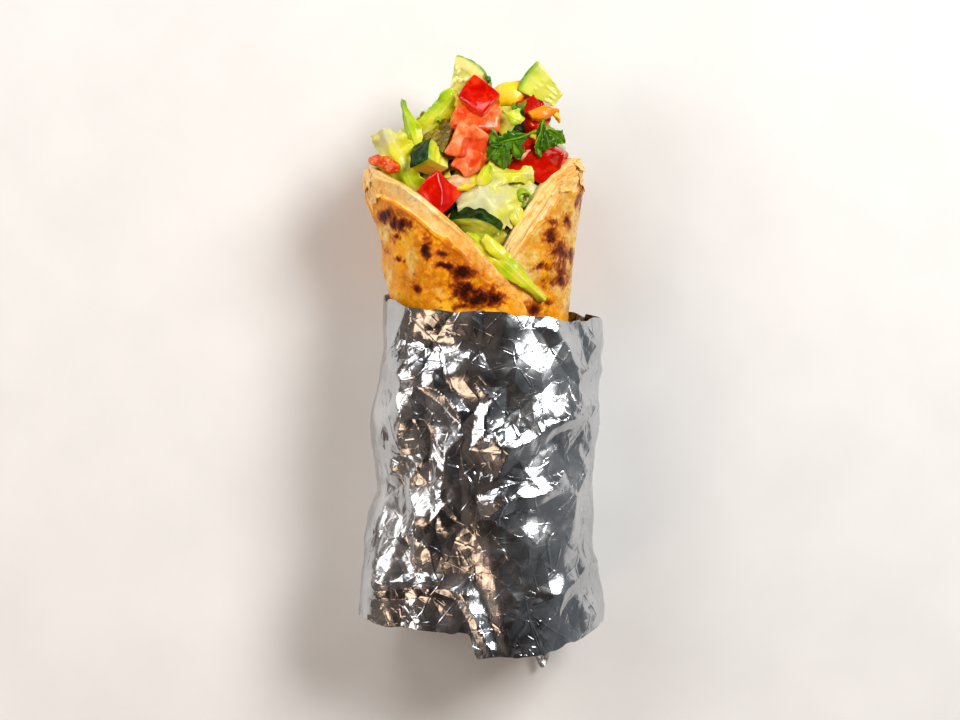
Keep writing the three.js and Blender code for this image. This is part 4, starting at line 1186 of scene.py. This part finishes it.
def foil_look():
    look = Look("aluminium_foil", Metallic=1.0)
    smudge = look.noise(45)
    colour = look.ramp(smudge, (0.3, "b0b3b7"), (0.7, "cccfd2"))
    roughness = look.step(look.wander(smudge, look.noise(300), 0.4), 0.3, 0.7, 0.15, 0.28)
    normal = None
    for per_metre, turn, strength in FOIL_CREASES:
        edge = look.cells(per_metre, look.along(turn, 2.4), "DISTANCE_TO_EDGE").outputs["Distance"]
        busy = look.step(look.noise(per_metre * 1.1, 2), 0.47, 0.57, 0.0, strength)
        normal = look.bump(look.step(edge, 0.0, 0.04, 1.0, 0.0), busy, 0.25, normal)
    for per_metre, turn, tilt in FOIL_TILTS:
        normal = look.tilted(normal, look.cells(per_metre, look.along(turn, 1.8)), tilt)
    return look.finish(colour, roughness, normal)


def lettuce_look():
    look = Look("lettuce", Subsurface_Weight=0.16, Subsurface_Scale=0.0015, Specular_IOR_Level=0.35,
                Subsurface_Radius=(0.8, 1.0, 0.15))
    cloudy = look.noise(230, 4, 0.4)
    grain = look.noise(900)
    colour = look.ramp(look.wander(look.attribute("tone"), cloudy, 0.4), (0.0, "c8c694"), (0.2, "d4d064"),
                       (0.4, "d6d228"), (0.58, "b8cc12"), (0.76, "82ae10"), (0.95, "3c7008"))
    colour = look.tint(colour, "e8e8a4", look.attribute("vein"), 0.3, 1.0, 0.4)
    normal = look.bump(grain, 0.15, 0.2, look.bump(cloudy, 0.3, 0.6))
    return look.finish(colour, look.step(grain, 0.3, 0.7, 0.2, 0.4), normal)


def parsley_look():
    look = Look("parsley", Subsurface_Weight=0.08, Subsurface_Scale=0.001, Specular_IOR_Level=0.35)
    cloudy = look.noise(420, 4, 0.3)
    # The light top of this ramp is reached mostly at the lobes' rims, as a painted highlight
    colour = look.ramp(look.wander(look.attribute("tone"), cloudy, 0.6),
                       (0.15, "1e4402"), (0.5, "427404"), (0.8, "78a40c"), (1.0, "a8c424"))
    colour = look.tint(colour, "8cb030", look.attribute("vein"), 0.5, 1.0, 0.5)
    return look.finish(colour, look.step(cloudy, 0.3, 0.7, 0.16, 0.34), look.bump(cloudy, 0.4, 0.5))


def tomato_look():
    look = Look("tomato", Subsurface_Weight=0.14, Subsurface_Scale=0.003, Specular_IOR_Level=0.3,
                Subsurface_Radius=(1.0, 0.2, 0.05))
    fibres = look.noise(330, 5, 0.8)
    cloudy = look.noise(110)
    flesh = look.ramp(look.wander(fibres, cloudy, 1.2),
                      (0.16, "dc3c0c"), (0.4, "f26028"), (0.62, "fa8c50"), (0.85, "ffb48a"))
    flesh = look.tint(flesh, "dc3c10", look.wander(look.attribute("wet"), fibres, 0.6), 0.3, 0.8, 0.8)
    skin = look.ramp(look.wander(cloudy, fibres, 0.8), (0.25, "b00600"), (0.5, "d41200"), (0.75, "f0400c"))
    outer = look.wander(look.attribute("skin"), fibres, 0.3)
    # The flesh turns redder towards the skin: partly the tomato's own redder outer flesh, and partly painted
    # light, with the faces away from the skin pale as a painted highlight and the sides near it darker red as
    # painted shade
    flesh = look.tint(flesh, "dc2806", outer, 0.0, 0.5, 0.85)
    colour = look.tint(flesh, skin, outer, 0.6, 0.85)
    # The piece's depth of red: partly a deeper red and partly painted shade
    colour = look.mix(look.math("MULTIPLY", look.attribute("deep"), 0.7), colour, "a40a00")
    normal = look.bump(fibres, look.step(look.attribute("skin"), 0.6, 0.85, 0.35, 0.1), 0.5)
    return look.finish(colour, look.step(fibres, 0.3, 0.7, 0.08, 0.24), normal)


def cucumber_look():
    look = Look("cucumber", Subsurface_Weight=0.16, Subsurface_Scale=0.003,
                Subsurface_Radius=(0.9, 1.0, 0.15))
    cloudy = look.noise(240, 4, 0.5)
    grain = look.noise(800)
    ring = look.wander(look.attribute("ring"), cloudy, 0.02)
    gel = look.wander(look.attribute("gel"), cloudy, 0.5)
    flesh = look.ramp(look.wander(ring, cloudy, 0.3), (0.05, "eaee92"), (0.45, "e4ec68"), (0.7, "dee64a"),
                      (0.88, "ccd832"), (0.95, "a6c22a"))
    # Paler flesh by the piece's paleness; the unpale pieces' deeper yellow is partly their own colour and
    # partly painted shade and bounce light
    flesh = look.mix(look.attribute("pale"), flesh, "e9e190")
    flesh = look.tint(flesh, "8cb028", ring, 0.93, 0.975, 0.8)
    flesh = look.tint(flesh, "b8b634", gel, 0.3, 0.9, 0.6)
    flesh = look.tint(flesh, "ece8a0", look.wander(look.attribute("seeds"), cloudy, 0.4), 0.3, 0.8)
    peel = look.ramp(look.wander(cloudy, grain, 0.4), (0.3, "061e02"), (0.6, "103806"), (0.85, "30600e"))
    light = look.ramp(look.wander(cloudy, grain, 0.6), (0.3, "4e8016"), (0.5, "78a428"), (0.75, "b0c658"))
    peel = look.mix(look.attribute("light_peel"), peel, light)
    colour = look.tint(flesh, peel, ring, 0.97, 0.985)
    look.put(look.shader.inputs["Specular IOR Level"], look.step(ring, 0.97, 0.985, 0.45, 0.22))
    normal = look.bump(grain, 0.2, 0.25, look.bump(cloudy, 0.3, 0.5))
    return look.finish(colour, look.step(gel, 0.2, 0.8, 0.24, 0.08), normal)


def pepper_look():
    look = Look("sweet_pepper", Subsurface_Weight=0.15, Subsurface_Scale=0.003, Specular_IOR_Level=0.4)
    cloudy = look.noise(160, 3, 0.4)
    colour = look.ramp(look.wander(look.attribute("tone"), cloudy, 0.35),
                       (0.0, "f0d848"), (0.3, "f4cc1c"), (0.65, "f8b010"), (0.95, "f48a08"))
    return look.finish(colour, look.step(cloudy, 0.3, 0.7, 0.2, 0.36), look.bump(cloudy, 0.6, 1.2))


def mottled_look(name, stops, per_metre, roughness, bumpy, wet, soft):
    """A wet food surface whose colour runs over a noise."""
    look = Look(name, Subsurface_Weight=soft, Subsurface_Scale=0.003, Specular_IOR_Level=wet)
    cloudy = look.noise(per_metre, 4, 0.5)
    grain = look.noise(per_metre * 4, 4)
    colour = look.ramp(look.wander(cloudy, grain, 0.5), *stops)
    lumps = look.cells(per_metre * 2.5, look.coordinates).outputs["Distance"]
    normal = look.bump(grain, 0.25, 0.3, look.bump(lumps, bumpy, 0.8))
    return look.finish(colour, look.step(grain, 0.3, 0.7, roughness, roughness + 0.2), normal)


# Light, floor and camera

def area_light(name, place, size, watts, colour):
    data = bpy.data.lights.new(name, "AREA")
    data.shape = "RECTANGLE"
    data.size, data.size_y = size
    data.energy = watts
    data.color = colour
    made = linked(name, data)
    made.location = place
    made.rotation_euler = (Vector(LIGHT_AIM) - Vector(place)).to_track_quat("-Z", "Y").to_euler()
    made.visible_camera = False


def surroundings():
    world = bpy.data.worlds.new("studio")
    nodes = Nodes(world)
    direction = nodes.node("TexCoord").outputs["Generated"]
    ways = nodes.node("SeparateXYZ", {"Vector": direction}).outputs
    sideways = nodes.math("MULTIPLY_ADD", ways["X"], 0.5, 0.5)
    share = nodes.math("MULTIPLY_ADD", ways["Z"], WORLD_CEILING, sideways)
    background = nodes.tree.nodes["Background"]
    nodes.put(background.inputs["Color"], nodes.ramp(share, *WORLD_STOPS))
    nodes.put(background.inputs["Strength"], WORLD_STRENGTH)
    bpy.context.scene.world = world


def pale_floor():
    mesh = bpy.data.meshes.new("floor")
    ways = ((-1, -1), (1, -1), (1, 1), (-1, 1))
    corners = [(x * FLOOR_REACH, y * FLOOR_REACH, FLOOR_LEVEL) for x, y in ways]
    mesh.from_pydata(corners, [], [(0, 1, 2, 3)])
    look = Look("pale_floor")
    grain = look.noise(30, 4)
    colour = look.ramp(grain, (0.3, "e2e1df"), (0.7, "e8e7e5"))
    mesh.materials.append(look.finish(colour, 0.6, look.bump(grain, 0.02, 0.5)))
    floor = linked("floor", mesh)


def studio():
    scene = bpy.context.scene
    scene.view_settings.view_transform = "Standard"
    surroundings()
    for light in LIGHTS:
        area_light(*light)
    pale_floor()
    data = bpy.data.cameras.new("camera")
    data.sensor_width = CAMERA_SENSOR
    data.lens = CAMERA_LENS
    scene.camera = linked("camera", data)
    scene.camera.location = CAMERA_PLACE


def dress():
    """Makes every piece in place of its solid."""
    looks = {name: mottled_look(name, *row) for name, row in MOTTLED.items()}
    looks.update(lettuce=lettuce_look(), parsley=parsley_look(), tomato=tomato_look(),
                 cucumber=cucumber_look(), pepper=pepper_look(), bread=bread_look(), foil=foil_look())

    piece("bread", bread_shape(), looks["bread"], "bread", "bread")
    piece("bread_plates", plate_shapes(), looks["bread"], "bread", "bread")
    piece("foil", foil_shape(), looks["foil"], "foil", "foil", smooth_shaded=False)

    def named(shape, name, centre, faces, spin):
        slot = name.split("_")[0]
        piece(name, placed(shape, centre, faces, spin), looks[slot], slot, name)

    for seed, (*place, size, crease, rounding, deep) in enumerate(TOMATOES):
        named(die_shape(size, seed, crease, rounding, deep), *place)
    for seed, (*place, size, pale) in enumerate(CUCUMBERS):
        named(wedge_shape(size, seed, pale), *place)
    for seed, (name, centre, faces, spin, *form) in enumerate(LEAVES):
        if name in PARSLEY_LOBES:
            shape = parsley_shape(name, seed)
        elif name.startswith("lettuce"):
            ripple = form[0][5]
            shape = leaf_shape(form[0], seed, *form[1:], frill=0.1 + 0.4 * ripple)
        else:
            shape = leaf_shape(form[0], seed, *form[1:], body=1.0)
        named(shape, name, centre, faces, spin)
    piece("relish", relish_shape(), looks["relish"], "relish", "relish")

    tomato_bits, cucumber_bits = heap_bits()
    heap = [
        # The core shows in the gaps between the shreds, coloured as deeper leaves in painted shade
        ["heap_core", heap_shape(), "salad_core_and_shade", "salad"],
        ["heap_tomato", tomato_bits, "tomato", "tomato"],
        ["heap_cucumber", cucumber_bits, "cucumber", "cucumber"],
        ["heap_lettuce", heap_shreds(), "lettuce", "lettuce"],
        ["herb_bits", bit_shapes(HERB_BITS, 200, thickness=0.5, low=0.4, high=0.7), "parsley", "parsley"],
        ["yellow_bits", bit_shapes(YELLOW_BITS, 220, thickness=1.6, low=0.25, high=0.5), "pepper", "pepper"],
        ["leaf_bits", bit_shapes(LEAF_BITS, 240, thickness=0.5, low=0.3, high=0.5), "lettuce", "lettuce"],
        ["seed", seed_shape(), "seed", "salad"],
        ["scallion", scallion_shape(), "lettuce", "lettuce"],
        ["pink_shred", tube(PINK_SHRED, PINK_SHRED_RADII), "pink_shred", "tomato"],
    ]
    for name, shape, look, slot in heap:
        piece(name, shape, looks[look], slot, "salad_heap")


studio()
dress()
